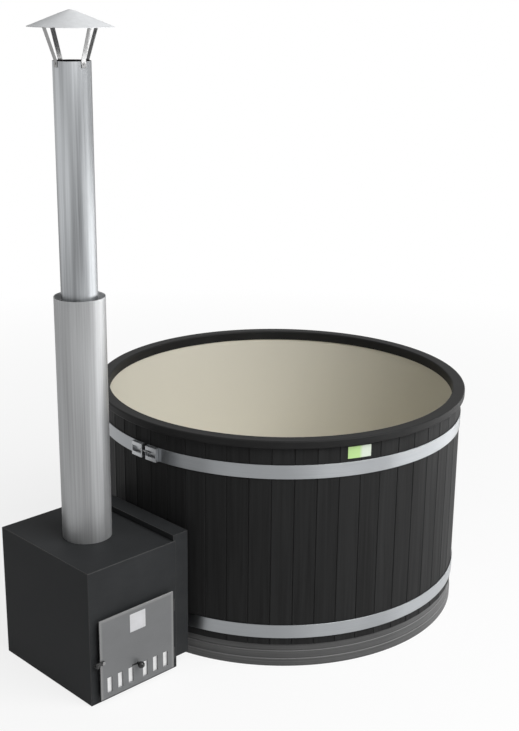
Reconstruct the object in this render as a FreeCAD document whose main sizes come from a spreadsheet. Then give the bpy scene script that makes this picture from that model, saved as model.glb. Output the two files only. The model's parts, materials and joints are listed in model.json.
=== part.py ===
# Round wood-fired hot tub with an outside box stove and a steel flue, in millimetres.
# The origin is the tub's centre on the floor, +Z is up, the stove stands towards -X
# and its door faces -Y.

import FreeCAD, Part
import math
import os
import Sketcher

Vector = FreeCAD.Vector
Z_AXIS = Vector(0, 0, 1)
FULL_TURN = 360
HALF_TURN = 180

doc = FreeCAD.newDocument("hot_tub")
sheet = doc.addObject("Spreadsheet::Sheet", "Dims")

# Driving dimensions: alias and value. Angles are in degrees, counts are plain numbers.
DIMENSIONS = [
    # fits that several pieces share
    ("curve_gap", 0.3),
    ("overrun", 2),
    # tub: heights from the floor, radii from the centre
    ("tub_height", 993),
    ("base_height", 98),
    ("base_wall", 46),
    ("tier_height", 33),
    ("tier_ledge", 4.5),
    ("joist_count", 5),
    ("joist_pitch", 290),
    ("joist_width", 60),
    ("joist_height", 70),
    ("board_count", 9),
    ("board_joint", 3),
    ("stave_radius", 806),
    ("stave_width", 90),
    ("stave_thickness", 28),
    ("stave_joint", 0.6),
    ("stave_bevel", 2.5),
    ("stave_turn", 0.7),
    ("liner_wall", 5),
    ("liner_corner", 45),
    ("rim_overhang", 16),
    ("rim_top_wall", 7),
    ("rim_inner_wall", 3.4),
    ("rim_outer_drop", 33),
    ("rim_inner_drop", 43),
    ("rim_round", 6),
    ("rim_edge_round", 1.2),
    # hoops and their tensioners
    ("band_width", 58),
    ("band_sheet", 3),
    ("band_gap", 20),
    ("upper_band_drop", 163),
    ("upper_band_turn", 182.3),
    ("lower_band_level", 130),
    ("lower_band_turn", 90),
    ("lug_length", 62),
    ("lug_rise", 16),
    ("lug_sheet", 2),
    ("lug_bend", 3),
    ("lug_window_margin", 16),
    ("bolt_radius", 3),
    ("bolt_reach", 36),
    ("nut_radius", 4.8),
    ("nut_height", 5),
    # blank plate on the staves
    ("badge_width", 101),
    ("badge_height", 50),
    ("badge_drop", 91),
    ("badge_turn", -112.3),
    ("badge_sheet", 1.2),
    # floor drain
    ("drain_out", 450),
    ("drain_side", 145),
    ("drain_bore", 20),
    ("drain_wall", 4),
    ("drain_lip_radius", 40),
    ("drain_lip_height", 4),
    ("drain_tail", 22),
    ("drain_board_gap", 2),
    ("drain_pipe_wall", 3),
    ("drain_pipe_level", 34),
    ("drain_bend", 45),
    ("drain_pipe_overlap", 12),
    ("spigot_radius", 31),
    ("spigot_length", 26),
    ("plug_lid_radius", 27),
    ("plug_lid_height", 4),
    ("plug_depth", 16),
    ("plug_knob_radius", 8),
    ("plug_knob_height", 14),
    # stove casing
    ("stove_gap", 70),
    ("casing_length", 431),
    ("casing_width", 579),
    ("casing_height", 566),
    ("casing_sheet", 4),
    # water tank, firebox and grate
    ("tank_gap", 14),
    ("tank_near_gap", 10),
    ("tank_sheet", 4),
    ("foot_height", 10),
    ("foot_size", 50),
    ("fire_sheet", 5),
    ("fire_height", 410),
    ("fire_floor_gap", 9),
    ("fire_back_gap", 46),
    ("grate_level", 118),
    ("grate_height", 12),
    ("grate_margin", 1),
    ("grate_slot_count", 7),
    ("grate_slot_width", 18),
    ("grate_border", 30),
    ("rail_size", 14),
    # door, from the casing's face outwards
    ("mouth_width", 314),
    ("mouth_height", 300),
    ("mouth_level", 36),
    ("frame_sheet", 6),
    ("frame_proud", 7.5),
    ("frame_gap", 1),
    ("gasket_height", 3),
    ("gasket_lap", 1),
    ("door_back_sheet", 3),
    ("door_back_inset", 5),
    ("slider_space", 3),
    ("door_sheet", 4),
    ("door_width", 367),
    ("door_height", 342),
    ("door_level", 21),
    ("slots_per_side", 3),
    ("slot_width", 24),
    ("slot_height", 66),
    ("slot_level", 42),
    ("slot_pitch", 52),
    ("slot_middle_pitch", 72),
    ("slider_sheet", 2),
    ("slider_lap", 2),
    ("slider_travel", 26),
    ("slider_rise", 80),
    ("spacer_width", 8),
    ("stem_radius", 4),
    ("stem_slot_gap", 0.5),
    ("knob_radius", 14),
    ("knob_neck", 8),
    ("knob_sink", 2),
    ("knob_level", 114),
    ("plate_size", 77),
    ("plate_sheet", 0.8),
    ("plate_level", 262),
    ("plate_shift", 2),
    # hinges and latch
    ("hinge_offset", 6.5),
    ("hinge_radius", 5.5),
    ("hinge_length", 24),
    ("hinge_low_level", 60),
    ("hinge_high_level", 275),
    ("hinge_play", 0.4),
    ("hinge_leaf", 16),
    ("pin_radius", 3),
    ("pin_play", 0.06),
    ("latch_level", 184),
    ("latch_inset", 11),
    ("latch_reach", 32),
    ("latch_height", 16),
    ("latch_sheet", 5),
    ("latch_play", 0.4),
    ("latch_pin_radius", 4),
    ("latch_head_radius", 7),
    ("latch_head_height", 4),
    ("keeper_width", 9),
    ("keeper_sheet", 4),
    ("keeper_lip", 10),
    # hood between stove and tub
    ("shroud_rise", 26),
    ("shroud_lift", 47),
    ("shroud_sheet", 3),
    ("shroud_lip", 10),
    ("shroud_back_gap", 5),
    # circulation lines
    ("line_low_level", 250),
    ("line_high_drop", 76),
    ("line_radius", 30),
    ("line_wall", 3),
    ("wall_lip_radius", 50),
    ("wall_lip_height", 6),
    ("seal_height", 3),
    ("seal_radius", 44),
    ("ring_nut_radius", 46),
    ("ring_nut_height", 12),
    ("fitting_tail", 40),
    ("stub_length", 34),
    ("sleeve_wall", 4.5),
    ("sleeve_lap", 24),
    ("clamp_width", 10),
    ("clamp_sheet", 1.5),
    ("clamp_inset", 3),
    ("grille_sheet", 2),
    ("grille_hole_radius", 4),
    ("grille_ring_radius", 16),
    ("grille_hole_count", 8),
    # flue
    ("flue_radius", 70),
    ("flue_sheet", 1),
    ("flue_top", 2416),
    ("collar_sheet", 2),
    ("collar_rise", 70),
    ("shield_radius", 98.5),
    ("shield_sheet", 1.2),
    ("shield_length", 984),
    ("spacer_count", 3),
    ("spacer_sheet", 2),
    ("spacer_strip", 14),
    ("spacer_inset", 70),
    ("cowl_radius", 156),
    ("cowl_rise", 58),
    ("cowl_level", 2534),
    ("cowl_sheet", 1.2),
    ("strut_count", 4),
    ("strut_width", 20),
    ("strut_sheet", 2),
    ("strut_lap", 22),
    ("strut_bend", 4),
    ("strut_tab_radius", 118),
    ("strut_tab", 20),
    ("rivet_radius", 4),
    ("rivet_height", 2),
    ("rivet_inset", 9),
]


class Size:
    # A sheet value, or a sum of such values: the number and the expression that gives it.

    def __init__(self, value, text):
        self.value = value
        self.text = text

    def __add__(self, other):
        other = sized(other)
        return Size(self.value + other.value, f"({self.text} + {other.text})")

    def __sub__(self, other):
        other = sized(other)
        return Size(self.value - other.value, f"({self.text} - {other.text})")

    def __mul__(self, other):
        other = sized(other)
        return Size(self.value * other.value, f"({self.text} * {other.text})")

    def __truediv__(self, other):
        other = sized(other)
        return Size(self.value / other.value, f"({self.text} / {other.text})")

    def __neg__(self):
        return Size(-self.value, f"(0 - {self.text})")

    def __radd__(self, other):
        return sized(other) + self

    def __rsub__(self, other):
        return sized(other) - self

    def __rmul__(self, other):
        return sized(other) * self

    def __rtruediv__(self, other):
        return sized(other) / self


def sized(number):
    return number if isinstance(number, Size) else Size(number, repr(number))


def cosine(angle):
    return Size(math.cos(math.radians(angle.value)), f"cos({angle.text})")


def sine(angle):
    return Size(math.sin(math.radians(angle.value)), f"sin({angle.text})")


def tangent(angle):
    return Size(math.tan(math.radians(angle.value)), f"tan({angle.text})")


def chord_depth(radius, offset):
    # Distance from a circle's centre to its chord at this offset from the middle.
    return Size(math.sqrt(radius.value ** 2 - offset.value ** 2),
                f"sqrt({radius.text} ^ 2 - {offset.text} ^ 2)")


def arc_angle(length, radius):
    # Angle in degrees of an arc of this length.
    return length / radius * HALF_TURN / math.pi


class Table:
    # The sheet's values, each under its alias.
    pass


for row, (alias, value) in enumerate(DIMENSIONS, start=1):
    sheet.set(f"A{row}", alias)
    sheet.set(f"B{row}", str(value))
    sheet.setAlias(f"B{row}", alias)
doc.recompute()
d = Table()
for alias, value in DIMENSIONS:
    setattr(d, alias, Size(float(sheet.get(alias)), f"Dims.{alias}"))

nodes = []


def node(item):
    nodes.append(item)
    return item


def named(kind, name):
    item = doc.addObject(kind, name)
    item.Label = name
    return item


def bind(item, **sizes):
    for name, size in sizes.items():
        size = sized(size)
        setattr(item, name, size.value)
        item.setExpression(name, size.text)


def place(item, x, y, z, axis=Z_AXIS, turn=0):
    x, y, z, turn = sized(x), sized(y), sized(z), sized(turn)
    rotation = FreeCAD.Rotation(axis, turn.value)
    item.Placement = FreeCAD.Placement(Vector(x.value, y.value, z.value), rotation)
    item.setExpression("Placement.Base.x", x.text)
    item.setExpression("Placement.Base.y", y.text)
    item.setExpression("Placement.Base.z", z.text)
    if axis == Z_AXIS:
        item.setExpression("Placement.Rotation.Angle", turn.text)
    return item


def box(name, low, high):
    item = named("Part::Box", name)
    bind(item, Length=high[0] - low[0], Width=high[1] - low[1], Height=high[2] - low[2])
    return place(item, *low)


# Turns that lay a cylinder's own Z along each row axis
LAY = {"X": (Vector(0, 1, 0), 90), "Y": (Vector(1, 0, 0), -90), "Z": (Z_AXIS, 0)}


def rod(name, along, across, start, end, radius):
    # A cylinder along one row axis, between two places on it; across is its centre line.
    item = named("Part::Cylinder", name)
    bind(item, Radius=radius, Height=end - start)
    first, second = across
    base = {"X": (start, first, second), "Y": (first, start, second), "Z": (first, second, start)}[along]
    return place(item, *base, *LAY[along])


def cut(name, base, *tools):
    for count, tool in enumerate(tools, start=1):
        item = doc.addObject("Part::Cut", f"{name}_cut_{count}")
        item.Base = base
        item.Tool = tool
        base = item
    base.Label = name
    return base


def fuse(name, *pieces):
    item = named("Part::MultiFuse", name)
    item.Shapes = list(pieces)
    item.Refine = True
    return item


def common(name, base, tool):
    item = named("Part::Common", name)
    item.Base = base
    item.Tool = tool
    return item


def group(name, *pieces):
    item = named("Part::Compound", name)
    item.Links = list(pieces)
    return item


def tube(name, along, across, start, end, outer, inner):
    bore = rod(f"{name}_bore", along, across, start - d.overrun, end + d.overrun, inner)
    return cut(name, rod(f"{name}_outside", along, across, start, end, outer), bore)


def sector(name, inner, outer, low, high, start, sweep):
    # Part of a ring round the tub's axis, from an angle and over a sweep in degrees.
    item = named("Part::Cylinder", f"{name}_outside")
    bind(item, Radius=outer, Height=high - low, Angle=sweep)
    place(item, 0, 0, low, Z_AXIS, start)
    core = rod(f"{name}_core", "Z", (0, 0), low - d.overrun, high + d.overrun, inner)
    return cut(name, item, core)


def ring_of(name, blank, count, x, y, first=0):
    # Copies of a blank, turned evenly round a vertical axis, as separate solids.
    doc.recompute()
    step = FULL_TURN / count
    copies = []
    for number in range(count):
        copy = blank.Shape.copy()
        copy.rotate(Vector(x, y, 0), Z_AXIS, first + number * step)
        copies.append(copy)
    item = named("Part::Feature", name)
    item.Shape = Part.makeCompound(copies)
    item.Placement = FreeCAD.Placement()
    return item


def origin_plane(body, role):
    return next(f for f in body.Origin.OriginFeatures if f.Role == role)


def outline(body, name, role, points):
    # A closed sketch of straight lines whose corners are bound to the sheet.
    sketch = body.newObject("Sketcher::SketchObject", f"{name}_outline")
    sketch.AttachmentSupport = (origin_plane(body, role), [""])
    sketch.MapMode = "FlatFace"
    corners = [(sized(a), sized(b)) for a, b in points]
    count = len(corners)
    for index, (a, b) in enumerate(corners):
        c, e = corners[(index + 1) % count]
        line = Part.LineSegment(Vector(a.value, b.value, 0), Vector(c.value, e.value, 0))
        sketch.addGeometry(line, False)
    for index in range(count):
        sketch.addConstraint(Sketcher.Constraint("Coincident", index, 2, (index + 1) % count, 1))
    for index, corner in enumerate(corners):
        for kind, axis, size in (("DistanceX", -2, corner[0]), ("DistanceY", -1, corner[1])):
            if size.value == 0:
                sketch.addConstraint(Sketcher.Constraint("PointOnObject", index, 1, axis))
            elif size.value > 0:
                key = sketch.addConstraint(Sketcher.Constraint(kind, -1, 1, index, 1, size.value))
                sketch.setExpression(f"Constraints[{key}]", size.text)
            else:
                key = sketch.addConstraint(Sketcher.Constraint(kind, index, 1, -1, 1, -size.value))
                sketch.setExpression(f"Constraints[{key}]", (-size).text)
    return sketch


def revolved(name, points, x=0, y=0, z=0, rounds=()):
    # A body turned about a vertical axis; points are radius and height. Each round is a
    # circle's radius and height with the radius of its fillet.
    body = named("PartDesign::Body", name)
    sketch = outline(body, name, "XZ_Plane", points)
    turn = body.newObject("PartDesign::Revolution", f"{name}_turn")
    turn.Profile = sketch
    turn.ReferenceAxis = (sketch, ["V_Axis"])
    turn.Angle = FULL_TURN
    for number, (radius, height, size) in enumerate(rounds, start=1):
        doc.recompute()
        tip = body.Tip
        edge = circle_edge(tip.Shape, radius.value, height.value)
        soft = body.newObject("PartDesign::Fillet", f"{name}_round_{number}")
        soft.Base = (tip, [edge])
        bind(soft, Radius=size)
    return place(body, x, y, z)


def circle_edge(shape, radius, height):
    for number, edge in enumerate(shape.Edges, start=1):
        curve = edge.Curve
        if isinstance(curve, Part.Circle) and math.isclose(curve.Radius, radius, abs_tol=1e-4):
            if math.isclose(curve.Center.z, height, abs_tol=1e-4):
                return f"Edge{number}"
    raise RuntimeError(f"no circle of radius {radius} at {height}")


def padded(name, role, points, depth, x=0, y=0, z=0, rounds=()):
    # A body pushed out of an origin plane by a depth. Each round is a corner of the outline
    # in the XY plane with the radius of its fillet.
    body = named("PartDesign::Body", name)
    sketch = outline(body, name, role, points)
    pad = body.newObject("PartDesign::Pad", f"{name}_pad")
    pad.Profile = sketch
    bind(pad, Length=depth)
    for number, (first, second, size) in enumerate(rounds, start=1):
        doc.recompute()
        tip = body.Tip
        edge = upright_edge(tip.Shape, first.value, second.value)
        soft = body.newObject("PartDesign::Fillet", f"{name}_round_{number}")
        soft.Base = (tip, [edge])
        bind(soft, Radius=size)
    return place(body, x, y, z)


def upright_edge(shape, x, y):
    for number, edge in enumerate(shape.Edges, start=1):
        ends = [Vector(v.X, v.Y, 0) for v in edge.Vertexes]
        if all(end.isEqual(Vector(x, y, 0), 1e-4) for end in ends):
            return f"Edge{number}"
    raise RuntimeError(f"no upright edge at {x}, {y}")


# Places that several pieces share

stave_top = d.tub_height - d.rim_top_wall
stave_count = round(2 * math.pi * d.stave_radius.value / d.stave_width.value)
stave_half_angle = sized(HALF_TURN / stave_count)
stave_face = d.stave_radius * cosine(stave_half_angle)
liner_radius = stave_face - d.stave_thickness - d.curve_gap
basin_radius = liner_radius - d.liner_wall
basin_floor = d.base_height + d.liner_wall
base_radius = d.stave_radius
base_bore = base_radius - d.base_wall
rim_radius = d.stave_radius + d.rim_overhang

near = -(d.stave_radius + d.stove_gap)
left = near - d.casing_length
back = d.casing_width / 2
front = -back
flue_x = near - d.casing_length / 2
shroud_back = -(d.stave_radius + d.shroud_back_gap)

frame_face = front - d.frame_proud
gasket_face = frame_face - d.gasket_height
door_back_face = gasket_face - d.door_back_sheet
panel_back = door_back_face - d.slider_space
panel_face = panel_back - d.door_sheet
door_left = flue_x - d.door_width / 2
door_right = flue_x + d.door_width / 2
door_top = d.door_level + d.door_height
mouth_left = flue_x - d.mouth_width / 2
mouth_right = flue_x + d.mouth_width / 2
mouth_top = d.mouth_level + d.mouth_height

tank_front = front + d.tank_gap
tank_right = near - d.tank_near_gap
line_levels = (("low", d.line_low_level), ("high", d.casing_height - d.line_high_drop))
flue_axis = (flue_x, 0)


# Tub

def make_base():
    tiers = [(base_bore, 0)]
    for number in range(2):
        radius = base_radius - d.tier_ledge * number
        tiers += [(radius, d.tier_height * number), (radius, d.tier_height * (number + 1))]
    top_radius = base_radius - d.tier_ledge * 2
    tiers += [(top_radius, d.tier_height * 2), (top_radius, d.base_height), (base_bore, d.base_height)]
    ring = revolved("base_skirt", tiers)
    hole = rod("base_hole", "X", (d.drain_side, d.drain_pipe_level), d.drain_out,
               base_radius + d.overrun, drain_pipe_radius + d.curve_gap)
    node(cut("base_ring", ring, hole))

    disc = rod("joist_disc", "Z", (0, 0), 0, d.joist_height, base_bore - d.curve_gap)
    joists = []
    count = int(d.joist_count.value)
    for number in range(count):
        middle = d.joist_pitch * (number - (count - 1) / 2)
        beam = box(f"joist_beam_{number}", (-base_radius, middle - d.joist_width / 2, sized(0)),
                   (base_radius, middle + d.joist_width / 2, d.joist_height))
        joists.append(common(f"joist_{number}", disc, beam))
    node(group("base_joists", *joists))

    top = rod("board_disc", "Z", (0, 0), d.joist_height, d.base_height, base_bore - d.curve_gap)
    pitch = base_bore * 2 / d.board_count
    hole_half = drain_pipe_radius + d.drain_board_gap
    boards = []
    for number in range(int(d.board_count.value)):
        start = pitch * number - base_bore
        spans = [(-base_bore, base_bore)]
        if start.value < d.drain_out.value + hole_half.value and \
                start.value + pitch.value > d.drain_out.value - hole_half.value:
            spans = [(-base_bore, d.drain_side - hole_half), (d.drain_side + hole_half, base_bore)]
        for side, (low, high) in enumerate(spans):
            strip = box(f"board_strip_{number}_{side}", (start + d.board_joint / 2, low, d.joist_height),
                        (start + pitch - d.board_joint / 2, high, d.base_height))
            boards.append(common(f"board_{number}_{side}", top, strip))
    node(group("floor_boards", *boards))


def make_staves():
    slope = tangent(stave_half_angle)
    inside = stave_face - d.stave_thickness
    bevel = stave_face - d.stave_bevel

    def half(radius):
        return radius * slope - d.stave_joint / 2

    right = [(inside, half(inside)), (bevel, half(bevel)), (stave_face, half(stave_face) - d.stave_bevel)]
    mirrored = [(x, -y) for x, y in reversed(right)]
    blank = padded("stave_blank", "XY_Plane", right[::-1] + mirrored[::-1], stave_top - d.base_height,
                   z=d.base_height)
    ring = ring_of("stave_ring", blank, stave_count, 0, 0, HALF_TURN + d.stave_turn.value)
    holes = [rod(f"stave_hole_{name}", "X", (0, level), -d.stave_radius - d.overrun,
                 -basin_radius, d.line_radius + d.curve_gap) for name, level in line_levels]
    node(cut("staves", ring, *holes))


def make_liner():
    shell = revolved(
        "liner_shell",
        [(0, d.base_height), (liner_radius, d.base_height), (liner_radius, stave_top),
         (basin_radius, stave_top), (basin_radius, basin_floor), (0, basin_floor)],
        rounds=[(liner_radius, d.base_height, d.liner_corner),
                (basin_radius, basin_floor, d.liner_corner - d.liner_wall)])
    holes = [rod(f"liner_hole_{name}", "X", (0, level), -d.stave_radius,
                 -basin_radius + d.line_radius, d.line_radius + d.curve_gap) for name, level in line_levels]
    holes.append(rod("liner_drain_hole", "Z", (d.drain_out, d.drain_side), d.base_height - d.overrun,
                     basin_floor + d.overrun, d.drain_bore + d.drain_wall + d.curve_gap))
    node(cut("liner", shell, *holes))


def make_rim():
    groove_out = d.stave_radius + d.curve_gap * 2
    groove_in = basin_radius - d.curve_gap
    inside = groove_in - d.rim_inner_wall
    outer_foot = d.tub_height - d.rim_outer_drop
    inner_foot = d.tub_height - d.rim_inner_drop
    node(revolved(
        "rim_ring",
        [(inside, inner_foot), (inside, d.tub_height), (rim_radius, d.tub_height),
         (rim_radius, outer_foot), (groove_out, outer_foot), (groove_out, stave_top),
         (groove_in, stave_top), (groove_in, inner_foot)],
        rounds=[(rim_radius, d.tub_height, d.rim_round), (inside, d.tub_height, d.rim_round),
                (rim_radius, outer_foot, d.rim_round), (inside, inner_foot, d.rim_edge_round)]))


def make_band(name, level, turn):
    # An open hoop, two folded lugs at its gap, and the bolt and nuts that draw them together.
    # All are made with the gap towards +X and then turned.
    inner = d.stave_radius + d.curve_gap
    outer = inner + d.band_sheet
    top = level + d.band_width
    gap = arc_angle(d.band_gap, outer)
    hoop = sector(f"{name}_hoop", inner, outer, level, top, gap / 2, FULL_TURN - gap)
    node(place(group(name, hoop), 0, 0, 0, Z_AXIS, turn))

    seat = outer + d.curve_gap
    axis_x = seat + d.lug_rise / 2
    middle = level + d.band_width / 2
    reach = d.lug_length + d.band_gap
    lean = arc_angle(d.band_gap + d.lug_length, outer) / 2
    lugs = []
    for side, sign in (("right", 1), ("left", -1)):
        blank = make_lug(f"{name}_lug_{side}", seat, level, sign)
        leaning = place(group(f"{name}_lug_{side}_leaning", blank), 0, 0, 0, Z_AXIS, lean * sign)
        hole = rod(f"{name}_lug_{side}_hole", "Y", (axis_x, middle), -reach / 2, reach / 2,
                   d.bolt_radius + d.curve_gap)
        lugs.append(cut(f"{name}_lug_{side}", leaning, hole))
    turned_lugs = place(group(f"{name}_lugs", *lugs), 0, 0, 0, Z_AXIS, turn)

    # The leaning loop's inner face, at the nut's far corner
    wall_face = (axis_x + d.nut_radius) * sine(lean) - (d.lug_length / 2 - d.lug_sheet) * cosine(lean)
    grip = wall_face + d.curve_gap
    shank = rod(f"{name}_shank", "Y", (axis_x, middle), -grip - d.bolt_reach / 2, grip + d.bolt_reach / 2,
                d.bolt_radius)
    head = hexagon(f"{name}_head", (axis_x, middle), -grip - d.nut_height)
    bolt = fuse(f"{name}_bolt_blank", shank, head)
    turned_bolt = place(group(f"{name}_bolt", bolt), 0, 0, 0, Z_AXIS, turn)
    bore = rod(f"{name}_nut_bore", "Y", (axis_x, middle), grip - d.overrun, grip + d.nut_height + d.overrun,
               d.bolt_radius + d.curve_gap)
    nut = cut(f"{name}_nut_blank", hexagon(f"{name}_nut_hexagon", (axis_x, middle), grip), bore)
    turned_nut = place(group(f"{name}_nut", nut), 0, 0, 0, Z_AXIS, turn)
    return turned_lugs, turned_bolt, turned_nut


def make_lug(name, seat, level, sign):
    # A loop of folded strip, rounded at the hoop's gap, with a window for the bolt in its outer wall.
    half = d.lug_length / 2
    crown = seat + d.lug_rise
    wall = d.lug_sheet
    top = level + d.band_width

    def loop(part, inset, spare):
        low, high = seat + inset, crown - inset
        near_end, far_end = (inset - half) * sign, (half - inset) * sign
        corners = [(low, near_end), (high, near_end), (high, far_end), (low, far_end)]
        bend = d.lug_bend - inset
        return padded(f"{name}_{part}", "XY_Plane", corners, d.band_width + spare * 2, z=level - spare,
                      rounds=[(low, near_end, bend), (high, near_end, bend)])

    window = box(f"{name}_window", (seat + wall, d.lug_bend - half, level + d.lug_window_margin),
                 (crown + d.overrun, half - d.lug_bend, top - d.lug_window_margin))
    return cut(f"{name}_blank", loop("outside", sized(0), sized(0)), loop("inside", wall, d.overrun), window)


def hexagon(name, across, start):
    # A hexagonal head lying along Y.
    item = named("Part::Prism", name)
    item.Polygon = 6
    bind(item, Circumradius=d.nut_radius, Height=d.nut_height)
    return place(item, across[0], start, across[1], *LAY["Y"])


def make_bands():
    sets = [make_band("upper_band", d.tub_height - d.upper_band_drop, d.upper_band_turn),
            make_band("lower_band", d.lower_band_level, d.lower_band_turn)]
    for name, pieces in zip(("band_lugs", "band_bolts", "band_nuts"), zip(*sets)):
        node(group(name, *pieces))


def make_badge():
    inner = d.stave_radius + d.curve_gap
    sweep = arc_angle(d.badge_width, inner)
    level = d.tub_height - d.badge_drop
    node(sector("badge_plate", inner, inner + d.badge_sheet, level, level + d.badge_height,
                d.badge_turn - sweep / 2, sweep))


# Floor drain

drain_pipe_bore = d.drain_bore + d.drain_wall + d.curve_gap
drain_pipe_radius = drain_pipe_bore + d.drain_pipe_wall


def make_drain():
    x, y = d.drain_out, d.drain_side
    flange_top = basin_floor + d.drain_lip_height
    tail = d.drain_bore + d.drain_wall
    tail_foot = d.base_height - d.drain_tail
    node(revolved(
        "drain_fitting",
        [(d.drain_bore, tail_foot), (tail, tail_foot), (tail, basin_floor),
         (d.drain_lip_radius, basin_floor), (d.drain_lip_radius, flange_top),
         (d.drain_bore, flange_top)],
        x, y))

    cover_top = flange_top + d.plug_lid_height
    knob_top = cover_top + d.plug_knob_height
    stopper = d.drain_bore - d.curve_gap
    foot = flange_top - d.plug_depth
    node(revolved(
        "drain_plug",
        [(0, foot), (stopper, foot), (stopper, flange_top), (d.plug_lid_radius, flange_top),
         (d.plug_lid_radius, cover_top), (d.plug_knob_radius, cover_top), (d.plug_knob_radius, knob_top),
         (0, knob_top)],
        x, y, rounds=[(d.plug_knob_radius, knob_top, d.plug_knob_radius / 2)]))

    pipe_top = tail_foot + d.drain_pipe_overlap
    outlet = base_radius + d.spigot_length
    outside = drain_run("outside", drain_pipe_radius, pipe_top, outlet)
    inside = drain_run("inside", drain_pipe_bore, pipe_top + d.overrun, outlet + d.overrun)
    spigot = rod("drain_spigot", "X", (y, d.drain_pipe_level), base_radius, outlet, d.spigot_radius)
    node(cut("drain_pipe", fuse("drain_pipe_whole", outside, spigot), inside))


def drain_run(name, radius, top, outlet):
    # Straight down, a quarter bend, then straight out under the floor.
    x, y = d.drain_out, d.drain_side
    down = rod(f"drain_down_{name}", "Z", (x, y), d.drain_pipe_level + d.drain_bend, top, radius)
    out = rod(f"drain_out_{name}", "X", (y, d.drain_pipe_level), x + d.drain_bend, outlet, radius)
    bend = named("Part::Torus", f"drain_bend_{name}")
    bind(bend, Radius1=d.drain_bend, Radius2=radius)
    bend.Angle3 = FULL_TURN / 4
    middle = (x + d.drain_bend, y, d.drain_pipe_level + d.drain_bend)
    place(bend, *middle, Vector(0, 1, -1), HALF_TURN)
    return fuse(f"drain_run_{name}", down, bend, out)


# Stove

def make_casing():
    outside = box("casing_block", (left, front, sized(0)), (near, back, d.casing_height))
    inside = box("casing_room", (left + d.casing_sheet, front + d.casing_sheet, -d.overrun),
                 (near + d.overrun, back - d.casing_sheet, d.casing_height - d.casing_sheet))
    edge = d.frame_sheet + d.frame_gap
    mouth = box("casing_mouth", (mouth_left - edge, front - d.overrun, d.mouth_level - edge),
                (mouth_right + edge, front + d.casing_sheet + d.overrun, mouth_top + edge))
    flue = rod("casing_flue_hole", "Z", flue_axis, d.casing_height - d.casing_sheet - d.overrun,
               d.casing_height + d.overrun, collar_radius + d.curve_gap)
    node(cut("stove_casing", outside, inside, mouth, flue))


def make_tank():
    low = (left + d.tank_gap, tank_front, d.foot_height)
    high = (tank_right, back - d.tank_gap, d.casing_height - d.tank_gap)
    wall = d.tank_sheet
    outside = box("tank_block", low, high)
    inside = box("tank_room", [c + wall for c in low], [c - wall for c in high])
    mouth = box("tank_mouth", (mouth_left, tank_front - d.overrun, d.mouth_level),
                (mouth_right, tank_front + wall + d.overrun, mouth_top))
    hole = collar_radius + d.curve_gap
    flue = rod("tank_flue_hole", "Z", flue_axis, high[2] - wall - d.overrun, high[2] + d.overrun, hole)
    lines = [rod(f"tank_hole_{name}", "X", (0, level), tank_right - wall - d.overrun,
                 tank_right + d.overrun, d.line_radius + d.curve_gap) for name, level in line_levels]
    node(cut("jacket_tank", outside, inside, mouth, flue, *lines))

    feet = []
    for side, x in (("left", low[0]), ("right", high[0] - d.foot_size)):
        for end, y in (("front", low[1]), ("back", high[1] - d.foot_size)):
            feet.append(box(f"foot_{side}_{end}", (x, y, sized(0)),
                            (x + d.foot_size, y + d.foot_size, d.foot_height)))
    node(group("stove_feet", *feet))


def make_firebox():
    wall = d.fire_sheet
    start = tank_front + d.tank_sheet
    end = back - d.tank_gap - d.tank_sheet - d.fire_back_gap
    floor = d.foot_height + d.tank_sheet + d.fire_floor_gap
    outside = box("fire_block", (mouth_left - wall, start, floor),
                  (mouth_right + wall, end, floor + d.fire_height))
    inside = box("fire_room", (mouth_left, start - d.overrun, floor + wall),
                 (mouth_right, end - wall, floor + d.fire_height - wall))
    top = floor + d.fire_height
    flue = rod("fire_flue_hole", "Z", flue_axis, top - wall - d.overrun, top + d.overrun,
               collar_radius + d.curve_gap)
    node(cut("firebox", outside, inside, flue))

    rail_top = d.grate_level
    rails = []
    for side, x in (("left", mouth_left), ("right", mouth_right - d.rail_size)):
        rails.append(box(f"rail_{side}", (x, start, rail_top - d.rail_size),
                         (x + d.rail_size, end - wall, rail_top)))
    node(group("grate_rails", *rails))

    grate_low = (mouth_left + d.grate_margin, start + d.grate_margin, rail_top)
    grate_high = (mouth_right - d.grate_margin, end - wall - d.grate_margin, rail_top + d.grate_height)
    plate = box("grate_blank", grate_low, grate_high)
    count = int(d.grate_slot_count.value)
    pitch = (grate_high[0] - grate_low[0] - d.grate_border * 2) / count
    slots = []
    for number in range(count):
        middle = grate_low[0] + d.grate_border + pitch * (number + 1 / 2)
        half = d.grate_slot_width / 2
        slots.append(box(f"grate_slot_{number}",
                         (middle - half, grate_low[1] + d.grate_border, rail_top - d.overrun),
                         (middle + half, grate_high[1] - d.grate_border, grate_high[2] + d.overrun)))
    node(cut("grate", plate, *slots))


def make_door_frame():
    edge = d.frame_sheet
    outside = box("frame_block", (mouth_left - edge, frame_face, d.mouth_level - edge),
                  (mouth_right + edge, tank_front, mouth_top + edge))
    inside = box("frame_room", (mouth_left, frame_face - d.overrun, d.mouth_level),
                 (mouth_right, tank_front + d.overrun, mouth_top))
    node(cut("door_frame", outside, inside))


# Door: panel in front, then the slider's space, the back plate and the gasket

slot_offsets = []
for sign in (-1, 1):
    for number in range(int(d.slots_per_side.value)):
        slot_offsets.append((d.slot_middle_pitch / 2 + d.slot_pitch * number) * sign)
slot_top = d.slot_level + d.slot_height
slot_span = d.slot_middle_pitch + d.slot_pitch * (d.slots_per_side - 1) * 2 + d.slot_width
slider_foot = d.slot_level - d.spacer_width
slider_top = slider_foot + d.slider_rise + d.spacer_width


def slot_boxes(name, shift, first, last):
    # The six air slots, moved sideways, through a plate between two places on Y.
    boxes = []
    for number, offset in enumerate(slot_offsets):
        middle = flue_x + offset + shift
        boxes.append(box(f"{name}_{number}", (middle - d.slot_width / 2, first, d.slot_level),
                         (middle + d.slot_width / 2, last, slot_top)))
    return boxes


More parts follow.
